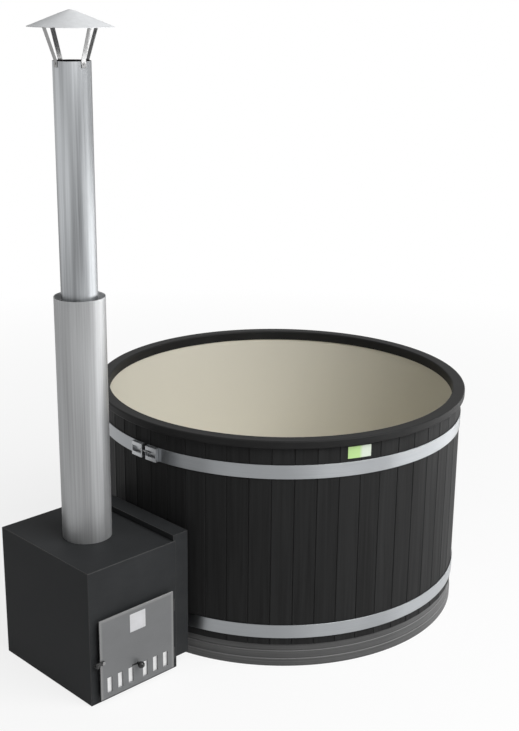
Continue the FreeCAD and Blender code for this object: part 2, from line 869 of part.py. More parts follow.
def make_door():
    panel = box("panel_blank", (door_left, panel_face, d.door_level), (door_right, panel_back, door_top))
    slots = slot_boxes("panel_slot", sized(0), panel_face - d.overrun, panel_back + d.overrun)
    stem_gap = d.stem_radius + d.stem_slot_gap
    stem_slot = box("panel_stem_slot",
                    (flue_x - d.slider_travel - stem_gap, panel_face - d.overrun, d.knob_level - stem_gap),
                    (flue_x + stem_gap, panel_back + d.overrun, d.knob_level + stem_gap))
    pivot_hole = rod("panel_pivot_hole", "Y", latch_axis, panel_face - d.overrun, panel_back + d.overrun,
                     d.latch_pin_radius + d.pin_play)
    node(cut("door_panel", panel, *slots, stem_slot, pivot_hole))

    inset = d.door_back_inset
    plate = box("back_blank", (door_left + inset, door_back_face, d.door_level + inset),
                (door_right - inset, gasket_face, door_top - inset))
    window = box("back_window", (flue_x - slot_span / 2, door_back_face - d.overrun, d.slot_level),
                 (flue_x + slot_span / 2, gasket_face + d.overrun, slot_top))
    node(cut("door_back", plate, window))

    strips = []
    for name, level in (("low", slider_foot - d.spacer_width), ("middle", slider_top),
                        ("high", door_top - inset - d.spacer_width)):
        strips.append(box(f"spacer_{name}", (door_left + inset, panel_back, level),
                          (door_right - inset - d.hinge_leaf, door_back_face, level + d.spacer_width)))
    node(group("door_spacers", *strips))

    out = d.frame_sheet + d.gasket_lap
    rope = box("gasket_blank", (mouth_left - out, gasket_face, d.mouth_level - out),
               (mouth_right + out, frame_face, mouth_top + out))
    lap = d.gasket_lap
    room = box("gasket_room", (mouth_left + lap, gasket_face - d.overrun, d.mouth_level + lap),
               (mouth_right - lap, frame_face + d.overrun, mouth_top - lap))
    node(cut("door_gasket", rope, room))

    middle = flue_x + d.plate_shift
    node(box("door_plate", (middle - d.plate_size / 2, panel_face - d.plate_sheet, d.plate_level),
             (middle + d.plate_size / 2, panel_face, d.plate_level + d.plate_size)))


def make_slider():
    play = (d.slider_space - d.slider_sheet) / 2
    first = panel_back + play
    last = door_back_face - play
    blank = box("slider_blank", (flue_x - slot_span / 2 - d.slider_lap, first, slider_foot + d.curve_gap),
                (flue_x + slot_span / 2 + d.slider_lap, last, slider_top - d.curve_gap))
    windows = slot_boxes("slider_window", d.slider_travel, first - d.overrun, last + d.overrun)
    node(cut("draft_slider", blank, *windows[:-1]))

    stem = rod("knob_stem", "Y", (flue_x, d.knob_level), panel_face - d.knob_neck, first, d.stem_radius)
    ball = named("Part::Sphere", "knob_ball")
    bind(ball, Radius=d.knob_radius)
    place(ball, flue_x, panel_face - d.knob_neck - d.knob_radius + d.knob_sink, d.knob_level)
    node(fuse("draft_knob", stem, ball))


# Hinges along the door's right edge, and the latch at its left edge

hinge_x = door_right + d.hinge_offset
hinge_y = door_back_face
hinge_axis = (hinge_x, hinge_y)
hinge_levels = (("low", d.hinge_low_level), ("high", d.hinge_high_level))


def make_hinges():
    brackets, knuckles, pins = [], [], []
    half = d.hinge_radius / 2
    for name, level in hinge_levels:
        joint = level + d.hinge_length
        upper = joint + d.hinge_play
        top = upper + d.hinge_length
        lug = box(f"hinge_lug_{name}", (hinge_x - half, hinge_y, level), (hinge_x + half, front, joint))
        barrel = rod(f"hinge_barrel_{name}", "Z", hinge_axis, level, joint, d.hinge_radius)
        bore = rod(f"hinge_bore_{name}", "Z", hinge_axis, level - d.overrun, top + d.overrun,
                   d.pin_radius + d.pin_play)
        brackets.append(cut(f"hinge_bracket_{name}", fuse(f"hinge_whole_{name}", lug, barrel), bore))
        leaf = box(f"hinge_leaf_{name}", (door_right - d.hinge_leaf, panel_back, upper),
                   (hinge_x, door_back_face, top))
        loop = rod(f"hinge_loop_{name}", "Z", hinge_axis, upper, top, d.hinge_radius)
        knuckles.append(cut(f"door_knuckle_{name}", fuse(f"knuckle_whole_{name}", leaf, loop), bore))
        shank = rod(f"hinge_shank_{name}", "Z", hinge_axis, level, top, d.pin_radius)
        head = rod(f"hinge_head_{name}", "Z", hinge_axis, level - d.pin_radius, level, d.hinge_radius)
        pins.append(fuse(f"hinge_pin_{name}", shank, head))
    node(group("hinge_brackets", *brackets))
    node(group("door_knuckles", *knuckles))
    node(group("hinge_pins", *pins))


latch_x = door_left + d.latch_inset
latch_axis = (latch_x, d.latch_level)


def make_latch():
    face = panel_face - d.latch_play
    outer = face - d.latch_sheet
    half = d.latch_height / 2
    tip = latch_x - d.latch_reach
    bar = box("hook_bar", (tip, outer, d.latch_level - half), (latch_x, face, d.latch_level + half))
    boss = rod("hook_boss", "Y", latch_axis, outer, face, half)
    bore = rod("hook_bore", "Y", latch_axis, outer - d.overrun, face + d.overrun,
               d.latch_pin_radius + d.pin_play)
    node(cut("latch_hook", fuse("hook_whole", bar, boss), bore))

    head_face = outer - d.latch_play
    shank = rod("pivot_shank", "Y", latch_axis, head_face, panel_back, d.latch_pin_radius)
    head = rod("pivot_head", "Y", latch_axis, head_face - d.latch_head_height, head_face, d.latch_head_radius)
    node(fuse("latch_pivot", shank, head))

    shelf = d.latch_level - half - d.latch_play
    lip_back = outer - d.latch_play
    keeper_right = tip + d.keeper_width
    arm = box("keeper_arm", (tip, lip_back - d.keeper_sheet, shelf - d.keeper_sheet),
              (keeper_right, front, shelf))
    lip = box("keeper_lip", (tip, lip_back - d.keeper_sheet, shelf),
              (keeper_right, lip_back, shelf + d.keeper_lip))
    node(fuse("latch_keeper", arm, lip))


# Hood and circulation lines between stove and tub

def make_shroud():
    top = d.casing_height + d.shroud_rise
    wall = d.shroud_sheet
    main = box("shroud_main", (near, front, d.shroud_lift), (shroud_back, back, top))
    lip = box("shroud_lip", (near - d.shroud_lip, front, d.casing_height), (near, back, top))
    room = box("shroud_room", (near - d.shroud_lip + wall, front + wall, d.shroud_lift + wall),
               (shroud_back - wall, back - wall, top - wall))
    holes = [rod(f"shroud_hole_{name}", "X", (0, level), shroud_back - wall - d.overrun,
                 shroud_back + d.overrun, d.line_radius + d.curve_gap) for name, level in line_levels]
    node(cut("connection_shroud", fuse("shroud_whole", main, lip), room, *holes))


def make_lines():
    bore = d.line_radius - d.line_wall
    slack = d.line_radius + d.curve_gap
    seal_seat = -chord_depth(basin_radius, d.wall_lip_radius) + d.curve_gap
    flange_seat = seal_seat + d.seal_height
    flange_face = flange_seat + d.wall_lip_height
    tail_end = shroud_back - d.fitting_tail
    stub_start = tank_right - d.tank_sheet
    stub_end = stub_start + d.stub_length
    nut_face = shroud_back - d.shroud_sheet
    stave_seat = -d.stave_radius - d.curve_gap
    sleeve_low = stub_end - d.sleeve_lap
    sleeve_high = tail_end + d.sleeve_lap
    sleeve_bore = d.line_radius + d.curve_gap
    sleeve_radius = sleeve_bore + d.sleeve_wall
    made = {name: [] for name in ("tank_stubs", "wall_fittings", "wall_seals", "wall_nuts",
                                  "hose_sleeves", "hose_clamps", "port_grilles")}
    for name, level in line_levels:
        across = (0, level)
        made["tank_stubs"].append(tube(f"stub_{name}", "X", across, stub_start, stub_end,
                                       d.line_radius, bore))
        flange = rod(f"flange_{name}", "X", across, flange_seat, flange_face, d.wall_lip_radius)
        tail = rod(f"tail_{name}", "X", across, tail_end, flange_seat, d.line_radius)
        water = rod(f"water_{name}", "X", across, tail_end - d.overrun, flange_face + d.overrun, bore)
        whole = fuse(f"fitting_whole_{name}", flange, tail)
        made["wall_fittings"].append(cut(f"fitting_{name}", whole, water))
        made["wall_seals"].append(tube(f"seal_in_{name}", "X", across, seal_seat, flange_seat,
                                       d.wall_lip_radius, slack))
        made["wall_seals"].append(tube(f"seal_out_{name}", "X", across, shroud_back, stave_seat,
                                       d.seal_radius, slack))
        made["wall_nuts"].append(tube(f"ring_nut_{name}", "X", across, nut_face - d.ring_nut_height, nut_face,
                                      d.ring_nut_radius, slack))
        made["hose_sleeves"].append(tube(f"sleeve_{name}", "X", across, sleeve_low, sleeve_high,
                                         sleeve_radius, sleeve_bore))
        clamp_bore = sleeve_radius + d.curve_gap
        for end, start in (("far", sleeve_low + d.clamp_inset),
                           ("close", sleeve_high - d.clamp_inset - d.clamp_width)):
            made["hose_clamps"].append(tube(f"clamp_{name}_{end}", "X", across, start, start + d.clamp_width,
                                            clamp_bore + d.clamp_sheet, clamp_bore))
        made["port_grilles"].append(make_grille(name, level, flange_seat, bore))
    for name, pieces in made.items():
        node(group(name, *pieces))


def make_grille(name, level, start, bore):
    # A drilled disc that sits in the line's mouth.
    end = start + d.grille_sheet
    disc = rod(f"grille_disc_{name}", "X", (0, level), start, end, bore - d.curve_gap)
    holes = [rod(f"grille_eye_{name}", "X", (0, level), start - d.overrun, end + d.overrun,
                 d.grille_hole_radius)]
    count = int(d.grille_hole_count.value)
    for number in range(count):
        angle = sized(FULL_TURN / count * number)
        side = d.grille_ring_radius * cosine(angle)
        rise = d.grille_ring_radius * sine(angle)
        holes.append(rod(f"grille_hole_{name}_{number}", "X", (side, level + rise),
                         start - d.overrun, end + d.overrun, d.grille_hole_radius))
    return cut(f"grille_{name}", disc, *holes)


# Flue

flue_bore = d.flue_radius - d.flue_sheet
collar_radius = flue_bore - d.curve_gap
shield_foot = d.casing_height
shield_top = shield_foot + d.shield_length


def make_flue():
    fire_top = d.foot_height + d.tank_sheet + d.fire_floor_gap + d.fire_height
    node(tube("flue_collar", "Z", flue_axis, fire_top - d.fire_sheet, d.casing_height + d.collar_rise,
              collar_radius, collar_radius - d.collar_sheet))
    node(tube("flue_pipe", "Z", flue_axis, d.casing_height, d.flue_top, d.flue_radius, flue_bore))
    shield_bore = d.shield_radius - d.shield_sheet
    node(tube("heat_shield", "Z", flue_axis, shield_foot, shield_top, d.shield_radius, shield_bore))

    strips = []
    for name, level in (("low", shield_foot + d.spacer_inset), ("high", shield_top - d.spacer_inset)):
        half = d.spacer_strip / 2
        blank = box(f"spacer_blank_{name}", (flue_x + d.flue_radius + d.curve_gap, -half, level),
                    (flue_x + chord_depth(shield_bore, half) - d.curve_gap, half, level + d.spacer_sheet))
        strips.append(ring_of(f"shield_spacers_{name}", blank, int(d.spacer_count.value), flue_x.value, 0))
    node(group("shield_spacers", *strips))


def make_cap():
    apex = d.cowl_level + d.cowl_rise
    node(revolved(
        "cap_cone",
        [(0, apex), (d.cowl_radius, d.cowl_level), (d.cowl_radius, d.cowl_level - d.cowl_sheet),
         (0, apex - d.cowl_sheet)],
        flue_x))

    # A strut is a flat strip: up the pipe, outwards to the cone, then along its underside.
    slope = d.cowl_rise / d.cowl_radius
    inner = d.flue_radius + d.curve_gap
    foot = d.flue_top - d.strut_lap
    bend = d.flue_top + d.strut_bend
    under = apex - d.cowl_sheet - d.curve_gap * 2

    def cone_z(radius):
        return under - slope * radius

    tab_end = d.strut_tab_radius + d.strut_tab
    sheet_size = d.strut_sheet
    inside = [(inner, foot), (inner, bend), (d.strut_tab_radius, cone_z(d.strut_tab_radius)),
              (tab_end, cone_z(tab_end))]
    outside = [(tab_end, cone_z(tab_end) - sheet_size),
               (d.strut_tab_radius + sheet_size, cone_z(d.strut_tab_radius + sheet_size) - sheet_size),
               (inner + sheet_size, bend), (inner + sheet_size, foot)]
    blank = padded("strut_blank", "XZ_Plane", inside + outside, d.strut_width, flue_x, d.strut_width / 2)
    count = int(d.strut_count.value)
    node(ring_of("cap_struts", blank, count, flue_x.value, 0))

    level = d.flue_top - d.rivet_inset
    start = flue_x + inner + sheet_size
    rivet = rod("rivet_blank", "X", (0, level), start, start + d.rivet_height, d.rivet_radius)
    node(ring_of("cap_rivets", rivet, count, flue_x.value, 0))


make_base()
make_staves()
make_liner()
make_rim()
make_bands()
make_badge()
make_drain()
make_casing()
make_tank()
make_firebox()
make_door_frame()
make_door()
make_slider()
make_hinges()
make_latch()
make_shroud()
make_lines()
make_flue()
make_cap()

doc.recompute()
for item in doc.Objects:
    if "Invalid" in item.State or "Error" in item.State:
        raise RuntimeError(f"{item.Label} failed to build: {item.State}")
for item in nodes:
    if item.Shape.isNull() or not item.Shape.isValid() or not item.Shape.Solids:
        raise RuntimeError(f"{item.Label} has no valid solid")

os.makedirs("parts", exist_ok=True)
for item in nodes:
    item.Shape.exportStep(f"parts/{item.Label}.step")
    print(item.Label, len(item.Shape.Solids), round(item.Shape.Volume))
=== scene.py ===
import bpy
import bmesh
import json
import math
import numpy as np
from mathutils import Matrix, Vector


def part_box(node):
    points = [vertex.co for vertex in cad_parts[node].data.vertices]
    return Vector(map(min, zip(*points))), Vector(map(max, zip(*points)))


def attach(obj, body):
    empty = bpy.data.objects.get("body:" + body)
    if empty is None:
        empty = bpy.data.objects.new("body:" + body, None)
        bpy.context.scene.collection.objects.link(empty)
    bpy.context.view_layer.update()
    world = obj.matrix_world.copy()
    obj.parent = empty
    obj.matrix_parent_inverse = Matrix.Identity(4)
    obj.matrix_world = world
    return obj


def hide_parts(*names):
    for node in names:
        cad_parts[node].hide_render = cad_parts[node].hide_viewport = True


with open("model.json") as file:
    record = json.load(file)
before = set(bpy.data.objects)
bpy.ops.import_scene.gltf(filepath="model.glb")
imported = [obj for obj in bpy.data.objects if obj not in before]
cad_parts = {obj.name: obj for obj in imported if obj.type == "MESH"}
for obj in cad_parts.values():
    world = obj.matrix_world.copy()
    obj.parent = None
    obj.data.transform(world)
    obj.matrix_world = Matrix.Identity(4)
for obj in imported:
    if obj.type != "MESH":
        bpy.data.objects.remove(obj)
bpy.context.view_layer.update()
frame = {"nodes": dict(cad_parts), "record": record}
scene = bpy.context.scene
scene.view_settings.view_transform = "Standard"
bodyOf = {node: body for body, members in frame["record"]["behaviour"]["bodies"].items() for node in members}
print("frame loaded:", len(frame["nodes"]), "nodes")


# Node trees: small helpers that every finish below uses

def addNode(tree, kind, inputs=None, **settings):
    node = tree.nodes.new(kind)
    for key, value in settings.items():
        setattr(node, key, value)
    for key, value in (inputs or {}).items():
        if isinstance(value, bpy.types.NodeSocket):
            tree.links.new(value, node.inputs[key])
        else:
            node.inputs[key].default_value = value
    return node


def startFinish(name, **sockets):
    # A principled material with its constant sockets set
    material = bpy.data.materials.new(name)
    material.use_nodes = True
    shader = material.node_tree.nodes["Principled BSDF"]
    for key, value in sockets.items():
        shader.inputs[key].default_value = value
    return material, material.node_tree, shader


def stretchedCoords(tree, scale=(1.0, 1.0, 1.0), source="Object", depth=0.0):
    # Object or UV coordinates in metres, scaled apart along each axis; depth picks another slice of a pattern
    coords = addNode(tree, "ShaderNodeTexCoord")
    mapping = addNode(tree, "ShaderNodeMapping", {"Vector": coords.outputs[source], "Scale": scale,
                                                  "Location": (0.0, 0.0, depth)})
    return mapping.outputs["Vector"]


def noiseOf(tree, vector, scale=1.0, detail=4.0, roughness=0.55, distortion=0.0):
    node = addNode(tree, "ShaderNodeTexNoise", {"Vector": vector, "Scale": scale, "Detail": detail,
                                                "Roughness": roughness, "Distortion": distortion})
    return node.outputs["Fac"]


def rangeOf(tree, value, low, high, fromLow=0.22, fromHigh=0.78):
    node = addNode(tree, "ShaderNodeMapRange", {"Value": value, "From Min": fromLow, "From Max": fromHigh,
                                                "To Min": low, "To Max": high})
    return node.outputs["Result"]


def shareOf(tree, value, fromLow=0.22, fromHigh=0.78):
    # Nothing at one value, growing to one at the other
    return rangeOf(tree, value, 0.0, 1.0, fromLow, fromHigh)


def blendColours(tree, factor, first, second):
    node = addNode(tree, "ShaderNodeMix", data_type="RGBA")
    for socket, value in ((node.inputs[0], factor), (node.inputs[6], first), (node.inputs[7], second)):
        if isinstance(value, bpy.types.NodeSocket):
            tree.links.new(value, socket)
        else:
            socket.default_value = value
    return node.outputs[2]


def mathOf(tree, operation, *values):
    return addNode(tree, "ShaderNodeMath", dict(enumerate(values)), operation=operation).outputs[0]


def addPart(tree, first, second, share):
    # The first value plus a share of the second
    return mathOf(tree, "ADD", first, mathOf(tree, "MULTIPLY", second, share))


def weighed(tree, first, second, share):
    # Two values mixed, the second with the share given
    return addPart(tree, mathOf(tree, "MULTIPLY", first, 1 - share), second, share)


def partsOf(tree, vector):
    return addNode(tree, "ShaderNodeSeparateXYZ", {"Vector": vector}).outputs


def bumpOf(tree, height, strength, distance, normal=None):
    inputs = {"Height": height, "Strength": strength, "Distance": distance}
    if normal is not None:
        inputs["Normal"] = normal
    return addNode(tree, "ShaderNodeBump", inputs).outputs["Normal"]


def joinUp(tree, shader, **sources):
    for key, value in sources.items():
        tree.links.new(value, shader.inputs[key.replace("_", " ")])


def grey(value, tint=0.0):
    return (value - tint, value, value + tint, 1.0)


# Finishes

staveLook = {"dark": grey(0.0145), "light": grey(0.028, 0.0003), "grain": (55.0, 55.0, 1.6),
             "pores": (420.0, 420.0, 9.0), "rough": (0.46, 0.64), "boards": 56, "turnDeg": 0.7,
             "grainShift": 7.0, "boardShare": 0.15, "poreGloss": 0.3, "poreDepth": 0.5, "shine": 0.06}


def makeStaveFinish():
    # Black stain over vertical grain; each board takes the stain a little differently
    look = staveLook
    material, tree, shader = startFinish("staveStain", **{"Specular IOR Level": look["shine"]})
    coords = addNode(tree, "ShaderNodeTexCoord").outputs["Object"]
    parts = partsOf(tree, coords)
    angle = mathOf(tree, "ARCTAN2", parts["Y"], parts["X"])
    turned = mathOf(tree, "ADD", angle, -math.radians(look["turnDeg"]))
    board = mathOf(tree, "MULTIPLY", turned, look["boards"] / (2 * math.pi))
    boardIndex = mathOf(tree, "FLOOR", mathOf(tree, "ADD", board, 0.5))
    draw = addNode(tree, "ShaderNodeTexWhiteNoise", {"W": boardIndex}, noise_dimensions="1D")
    boardTone = draw.outputs["Value"]
    lift = mathOf(tree, "MULTIPLY", boardTone, look["grainShift"])
    shift = addNode(tree, "ShaderNodeCombineXYZ", {"Z": lift}).outputs[0]
    moved = addNode(tree, "ShaderNodeVectorMath", {0: coords, 1: shift}, operation="ADD").outputs[0]
    grainMap = addNode(tree, "ShaderNodeMapping", {"Vector": moved, "Scale": look["grain"]}).outputs[0]
    grain = noiseOf(tree, grainMap, detail=6.0, roughness=0.62, distortion=0.6)
    poreMap = addNode(tree, "ShaderNodeMapping", {"Vector": moved, "Scale": look["pores"]}).outputs[0]
    pores = noiseOf(tree, poreMap, detail=3.0, roughness=0.5)
    tone = weighed(tree, grain, boardTone, look["boardShare"])
    colour = blendColours(tree, shareOf(tree, tone, 0.25, 0.75), look["dark"], look["light"])
    smooth, coarse = look["rough"]
    rough = rangeOf(tree, addPart(tree, grain, pores, look["poreGloss"]), coarse, smooth, 0.4, 0.9)
    relief = bumpOf(tree, addPart(tree, grain, pores, look["poreDepth"]), strength=0.25, distance=0.0012)
    joinUp(tree, shader, Base_Color=colour, Roughness=rough, Normal=relief)
    return material


# The ledge tone is painted light on the faces of the tiers that look up
baseLook = {"dark": grey(0.042), "light": grey(0.108), "ledge": grey(0.175), "grain": (1.2, 160.0, 1.0),
            "patches": (3.0, 3.0, 3.0), "patchShare": 0.3, "rough": (0.42, 0.6), "shine": 0.4}


def makeBaseFinish():
    # Dark grey stained strips bent round the foot, with grain that follows the bend, and painted light on the
    # ledges that face up
    look = baseLook
    material, tree, shader = startFinish("baseStain", **{"Specular IOR Level": look["shine"]})
    grainMap = stretchedCoords(tree, look["grain"], "UV")
    grain = noiseOf(tree, grainMap, detail=6.0, roughness=0.6, distortion=0.4)
    patches = noiseOf(tree, stretchedCoords(tree, look["patches"]), detail=3.0)
    tone = weighed(tree, grain, patches, look["patchShare"])
    colour = blendColours(tree, shareOf(tree, tone, 0.3, 0.7), look["dark"], look["light"])
    facing = partsOf(tree, addNode(tree, "ShaderNodeNewGeometry").outputs["Normal"])
    paintedLedgeLight = shareOf(tree, facing["Z"], 0.25, 0.9)  # ledges that face up are painted paler: painted light, as if lit from above
    colour = blendColours(tree, paintedLedgeLight, colour, look["ledge"])
    smooth, coarse = look["rough"]
    joinUp(tree, shader, Base_Color=colour, Roughness=rangeOf(tree, tone, coarse, smooth),
           Normal=bumpOf(tree, grain, strength=0.3, distance=0.001))
    return material


rimLook = {"dark": grey(0.013), "light": grey(0.021), "stipple": 900.0, "marks": (7.0, 7.0, 16.0),
           "rough": (0.46, 0.58), "shine": 0.10}


def makeRimFinish():
    # Satin moulded plastic with a fine stipple and faint handling marks
    look = rimLook
    material, tree, shader = startFinish("rimPlastic", **{"Specular IOR Level": look["shine"]})
    stipple = noiseOf(tree, stretchedCoords(tree), look["stipple"], detail=2.0)
    marks = noiseOf(tree, stretchedCoords(tree, look["marks"]), detail=5.0, roughness=0.6)
    colour = blendColours(tree, shareOf(tree, marks), look["dark"], look["light"])
    joinUp(tree, shader, Base_Color=colour, Roughness=rangeOf(tree, marks, *look["rough"]),
           Normal=bumpOf(tree, stipple, strength=0.12, distance=0.0006))
    return material


linerLook = {"pale": (0.70, 0.672, 0.582, 1.0), "deep": (0.665, 0.637, 0.548, 1.0), "clouds": (1.1, 1.1, 1.6),
             "ripple": (38.0, 38.0, 38.0), "rough": (0.44, 0.52), "shine": 0.5, "coat": 0.10,
             "coatRough": 0.35}


def makeLinerFinish():
    # Moulded beige shell: soft clouding, a slight ripple in the gloss and a thin clear coat
    look = linerLook
    material, tree, shader = startFinish("linerShell", **{"Specular IOR Level": look["shine"],
                                                          "Coat Weight": look["coat"],
                                                          "Coat Roughness": look["coatRough"]})
    clouds = noiseOf(tree, stretchedCoords(tree, look["clouds"]), detail=0.0)
    ripple = noiseOf(tree, stretchedCoords(tree, look["ripple"]), detail=2.0)
    colour = blendColours(tree, clouds, look["pale"], look["deep"])
    rough = rangeOf(tree, clouds, *look["rough"], fromLow=0.0, fromHigh=1.0)
    joinUp(tree, shader, Base_Color=colour, Roughness=rough,
           Normal=bumpOf(tree, ripple, strength=0.06, distance=0.002))
    return material


steelLook = {"patches": (4.0, 4.0, 4.0), "patchShare": 0.35, "blotchShare": 0.6, "acrossBrushing": 0.25}


def makeBrushedFinish(name, dark, light, streaks, rough, source="Object", spread=0.2, metal=1.0, edge=0.7,
                      shine=0.5, stretch=0.0, waves=None, waveHeight=0.0, blotchesAndReflections=None, patternDepth=0.0,
                      soot=None):
    # Steel with fine brushing along one direction and slow changes of gloss.
    # Spread is how much of the noise covers the whole run of tones;
    # edge is how much it still mirrors at a glancing angle, shine the gloss of a dull skin on it;
    # stretch draws highlights out across the brushing;
    # waves are the sheet's own gentle buckles, which break up what it mirrors;
    # blotches are the size of its broad patches where they run with the brushing, partly the steel's own tone
    # and partly painted reflection of dark and bright surroundings, and patternDepth the slice of noise that
    # they are taken from;
    # soot gives a height above which it is blackened, with the tone and the width of the change, which on the
    # slider is painted shade under its slots' top edges.
    look = steelLook
    material, tree, shader = startFinish(name, Metallic=metal, **{"Specular Tint": grey(edge),
                                                                  "Specular IOR Level": shine})
    lines = noiseOf(tree, stretchedCoords(tree, streaks, source), detail=5.0, roughness=0.65)
    if blotchesAndReflections:
        patchMap = stretchedCoords(tree, blotchesAndReflections, source, patternDepth)
        patches = noiseOf(tree, patchMap, detail=1.0, roughness=0.45)
        tone = weighed(tree, lines, patches, look["blotchShare"])
    else:
        patches = noiseOf(tree, stretchedCoords(tree, look["patches"]))
        tone = weighed(tree, lines, patches, look["patchShare"])
    colour = blendColours(tree, shareOf(tree, tone, 0.5 - spread, 0.5 + spread), dark, light)
    # Above the given height the plate is darkened: painted shade under the slots' top edges
    if soot:
        level = partsOf(tree, stretchedCoords(tree))["Z"]
        paintedShadeAbove = shareOf(tree, level, soot["above"], soot["above"] + soot["fade"])
        colour = blendColours(tree, paintedShadeAbove, colour, soot["tone"])
    gloss = rangeOf(tree, tone, *rough, fromLow=0.3, fromHigh=0.7)
    normal = bumpOf(tree, lines, strength=0.08, distance=0.0004)
    if waves:
        swell = noiseOf(tree, stretchedCoords(tree, waves, source), detail=2.0, roughness=0.5)
        normal = bumpOf(tree, swell, 1.0, waveHeight, normal)
    joinUp(tree, shader, Base_Color=colour, Roughness=gloss, Normal=normal)
    if stretch:
        shader.inputs["Anisotropic"].default_value = stretch
        shader.inputs["Anisotropic Rotation"].default_value = look["acrossBrushing"]
        joinUp(tree, shader, Tangent=addNode(tree, "ShaderNodeTangent", direction_type="UV_MAP").outputs[0])
    return material


def edgeLightMaskOf(tree, node, width):
    # Mask of a painted highlight: one at a panel's top and side edges, falling to nothing one width in
    low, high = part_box(node)
    parts = partsOf(tree, stretchedCoords(tree))
    sideways = mathOf(tree, "ABSOLUTE", mathOf(tree, "ADD", parts["X"], -(low.x + high.x) / 2))
    pastSide = mathOf(tree, "ADD", sideways, -(high.x - low.x) / 2)
    pastTop = mathOf(tree, "ADD", parts["Z"], -high.z)
    return shareOf(tree, mathOf(tree, "MAXIMUM", pastSide, pastTop), -width, -width / 3)


# The lift is how much paler the painted highlight along a panel's edges is than its paint
paintLook = {"dust": (5.0, 5.0, 8.0), "paintedEdgeLightLift": 1.3}


def makePaintFinish(name, dark, light, rough, texture, depth, metallic=0.0, gloss=0.5, paintedEdgeLight=None):
    # Powder coat: fine orange peel, a little dust in patches and uneven gloss.
    # A border names a node and the width of a strip along its top and sides painted paler: a painted
    # highlight where those edges catch the light.
    look = paintLook
    material, tree, shader = startFinish(name, Metallic=metallic, **{"Specular IOR Level": gloss})
    peel = noiseOf(tree, stretchedCoords(tree), texture, detail=2.0, roughness=0.5)
    dust = noiseOf(tree, stretchedCoords(tree, look["dust"]), detail=6.0, roughness=0.62)
    colour = blendColours(tree, shareOf(tree, dust), dark, light)
    if paintedEdgeLight:
        colour = blendColours(tree, edgeLightMaskOf(tree, *paintedEdgeLight), colour, grey(look["paintedEdgeLightLift"] * light[1]))
    joinUp(tree, shader, Base_Color=colour, Roughness=rangeOf(tree, dust, *rough),
           Normal=bumpOf(tree, peel, strength=0.15, distance=depth))
    return material


timberLook = {"dark": (0.42, 0.27, 0.14, 1.0), "light": (0.66, 0.49, 0.30, 1.0), "bands": (1.0, 9.0, 14.0),
              "fibre": (6.0, 180.0, 180.0), "fibreShare": 0.4, "shine": 0.3}


def makeTimberFinish():
    # Raw softwood for what lies under the floor: wavy growth bands and fine fibre along the length
    look = timberLook
    material, tree, shader = startFinish("rawTimber", **{"Specular IOR Level": look["shine"]})
    growth = addNode(tree, "ShaderNodeTexWave",
                     {"Vector": stretchedCoords(tree, look["bands"]), "Scale": 2.2, "Distortion": 5.0,
                      "Detail": 4.0, "Detail Scale": 1.4}, bands_direction="Y")
    fibre = noiseOf(tree, stretchedCoords(tree, look["fibre"]))
    tone = weighed(tree, growth.outputs["Fac"], fibre, look["fibreShare"])
    colour = blendColours(tree, tone, look["dark"], look["light"])
    joinUp(tree, shader, Base_Color=colour, Roughness=rangeOf(tree, tone, 0.8, 0.6),
           Normal=bumpOf(tree, fibre, strength=0.3, distance=0.0006))
    return material


rubberLook = {"bloom": (30.0, 30.0, 30.0), "bloomLift": 1.5, "bloomRough": 0.15, "shine": 0.4}


def makeRubberFinish(name, tone, rough, texture):
    # Matte moulded rubber or plastic with a faint bloom
    look = rubberLook
    material, tree, shader = startFinish(name, **{"Specular IOR Level": look["shine"]})
    bloom = noiseOf(tree, stretchedCoords(tree, look["bloom"]), detail=5.0, roughness=0.6)
    pores = noiseOf(tree, stretchedCoords(tree), texture, detail=2.0)
    colour = blendColours(tree, shareOf(tree, bloom), grey(tone), grey(tone * look["bloomLift"]))
    joinUp(tree, shader, Base_Color=colour, Roughness=rangeOf(tree, bloom, rough, rough + look["bloomRough"]),
           Normal=bumpOf(tree, pores, strength=0.2, distance=0.0003))
    return material


ropeLook = {"dark": (0.38, 0.36, 0.31, 1.0), "light": (0.78, 0.76, 0.69, 1.0), "strands": 420.0,
            "shine": 0.2, "sheen": 0.3}


def makeRopeFinish():
    # Woven glass rope in the door's seal: crossing strands from two diagonal waves
    look = ropeLook
    material, tree, shader = startFinish("sealRope", **{"Specular IOR Level": look["shine"],
                                                        "Sheen Weight": look["sheen"]})
    strands = []
    for lean in (1.0, -1.0):
        leaning = stretchedCoords(tree, (look["strands"], look["strands"], look["strands"] * lean))
        wave = addNode(tree, "ShaderNodeTexWave", {"Vector": leaning, "Scale": 1.0, "Distortion": 0.6},
                       bands_direction="DIAGONAL")
        strands.append(wave.outputs["Fac"])
    weave = mathOf(tree, "MAXIMUM", *strands)
    colour = blendColours(tree, weave, look["dark"], look["light"])
    joinUp(tree, shader, Base_Color=colour, Roughness=rangeOf(tree, weave, 0.95, 0.8, 0.0, 1.0),
           Normal=bumpOf(tree, weave, strength=0.6, distance=0.0008))
    return material


ironLook = {"dark": grey(0.025), "light": grey(0.09), "pits": 260.0, "soot": (12.0, 12.0, 12.0), "metal": 0.6}


def makeIronFinish():
    # Sand-cast iron with pits and patches of soot
    look = ironLook
    material, tree, shader = startFinish("castIron", Metallic=look["metal"])
    pits = noiseOf(tree, stretchedCoords(tree), look["pits"], detail=6.0, roughness=0.7)
    soot = noiseOf(tree, stretchedCoords(tree, look["soot"]), detail=5.0)
    colour = blendColours(tree, shareOf(tree, soot), look["dark"], look["light"])
    joinUp(tree, shader, Base_Color=colour, Roughness=rangeOf(tree, soot, 0.85, 0.6),
           Normal=bumpOf(tree, pits, strength=0.5, distance=0.0008))
    return material


badgeLook = {"green": (0.44, 0.66, 0.25, 1.0), "pale": (0.62, 0.69, 0.58, 1.0), "splitDeg": -111.9,
             "softDeg": 0.5, "fade": (40.0, 40.0, 40.0), "shine": 0.5, "coat": 0.4, "coatRough": 0.2}


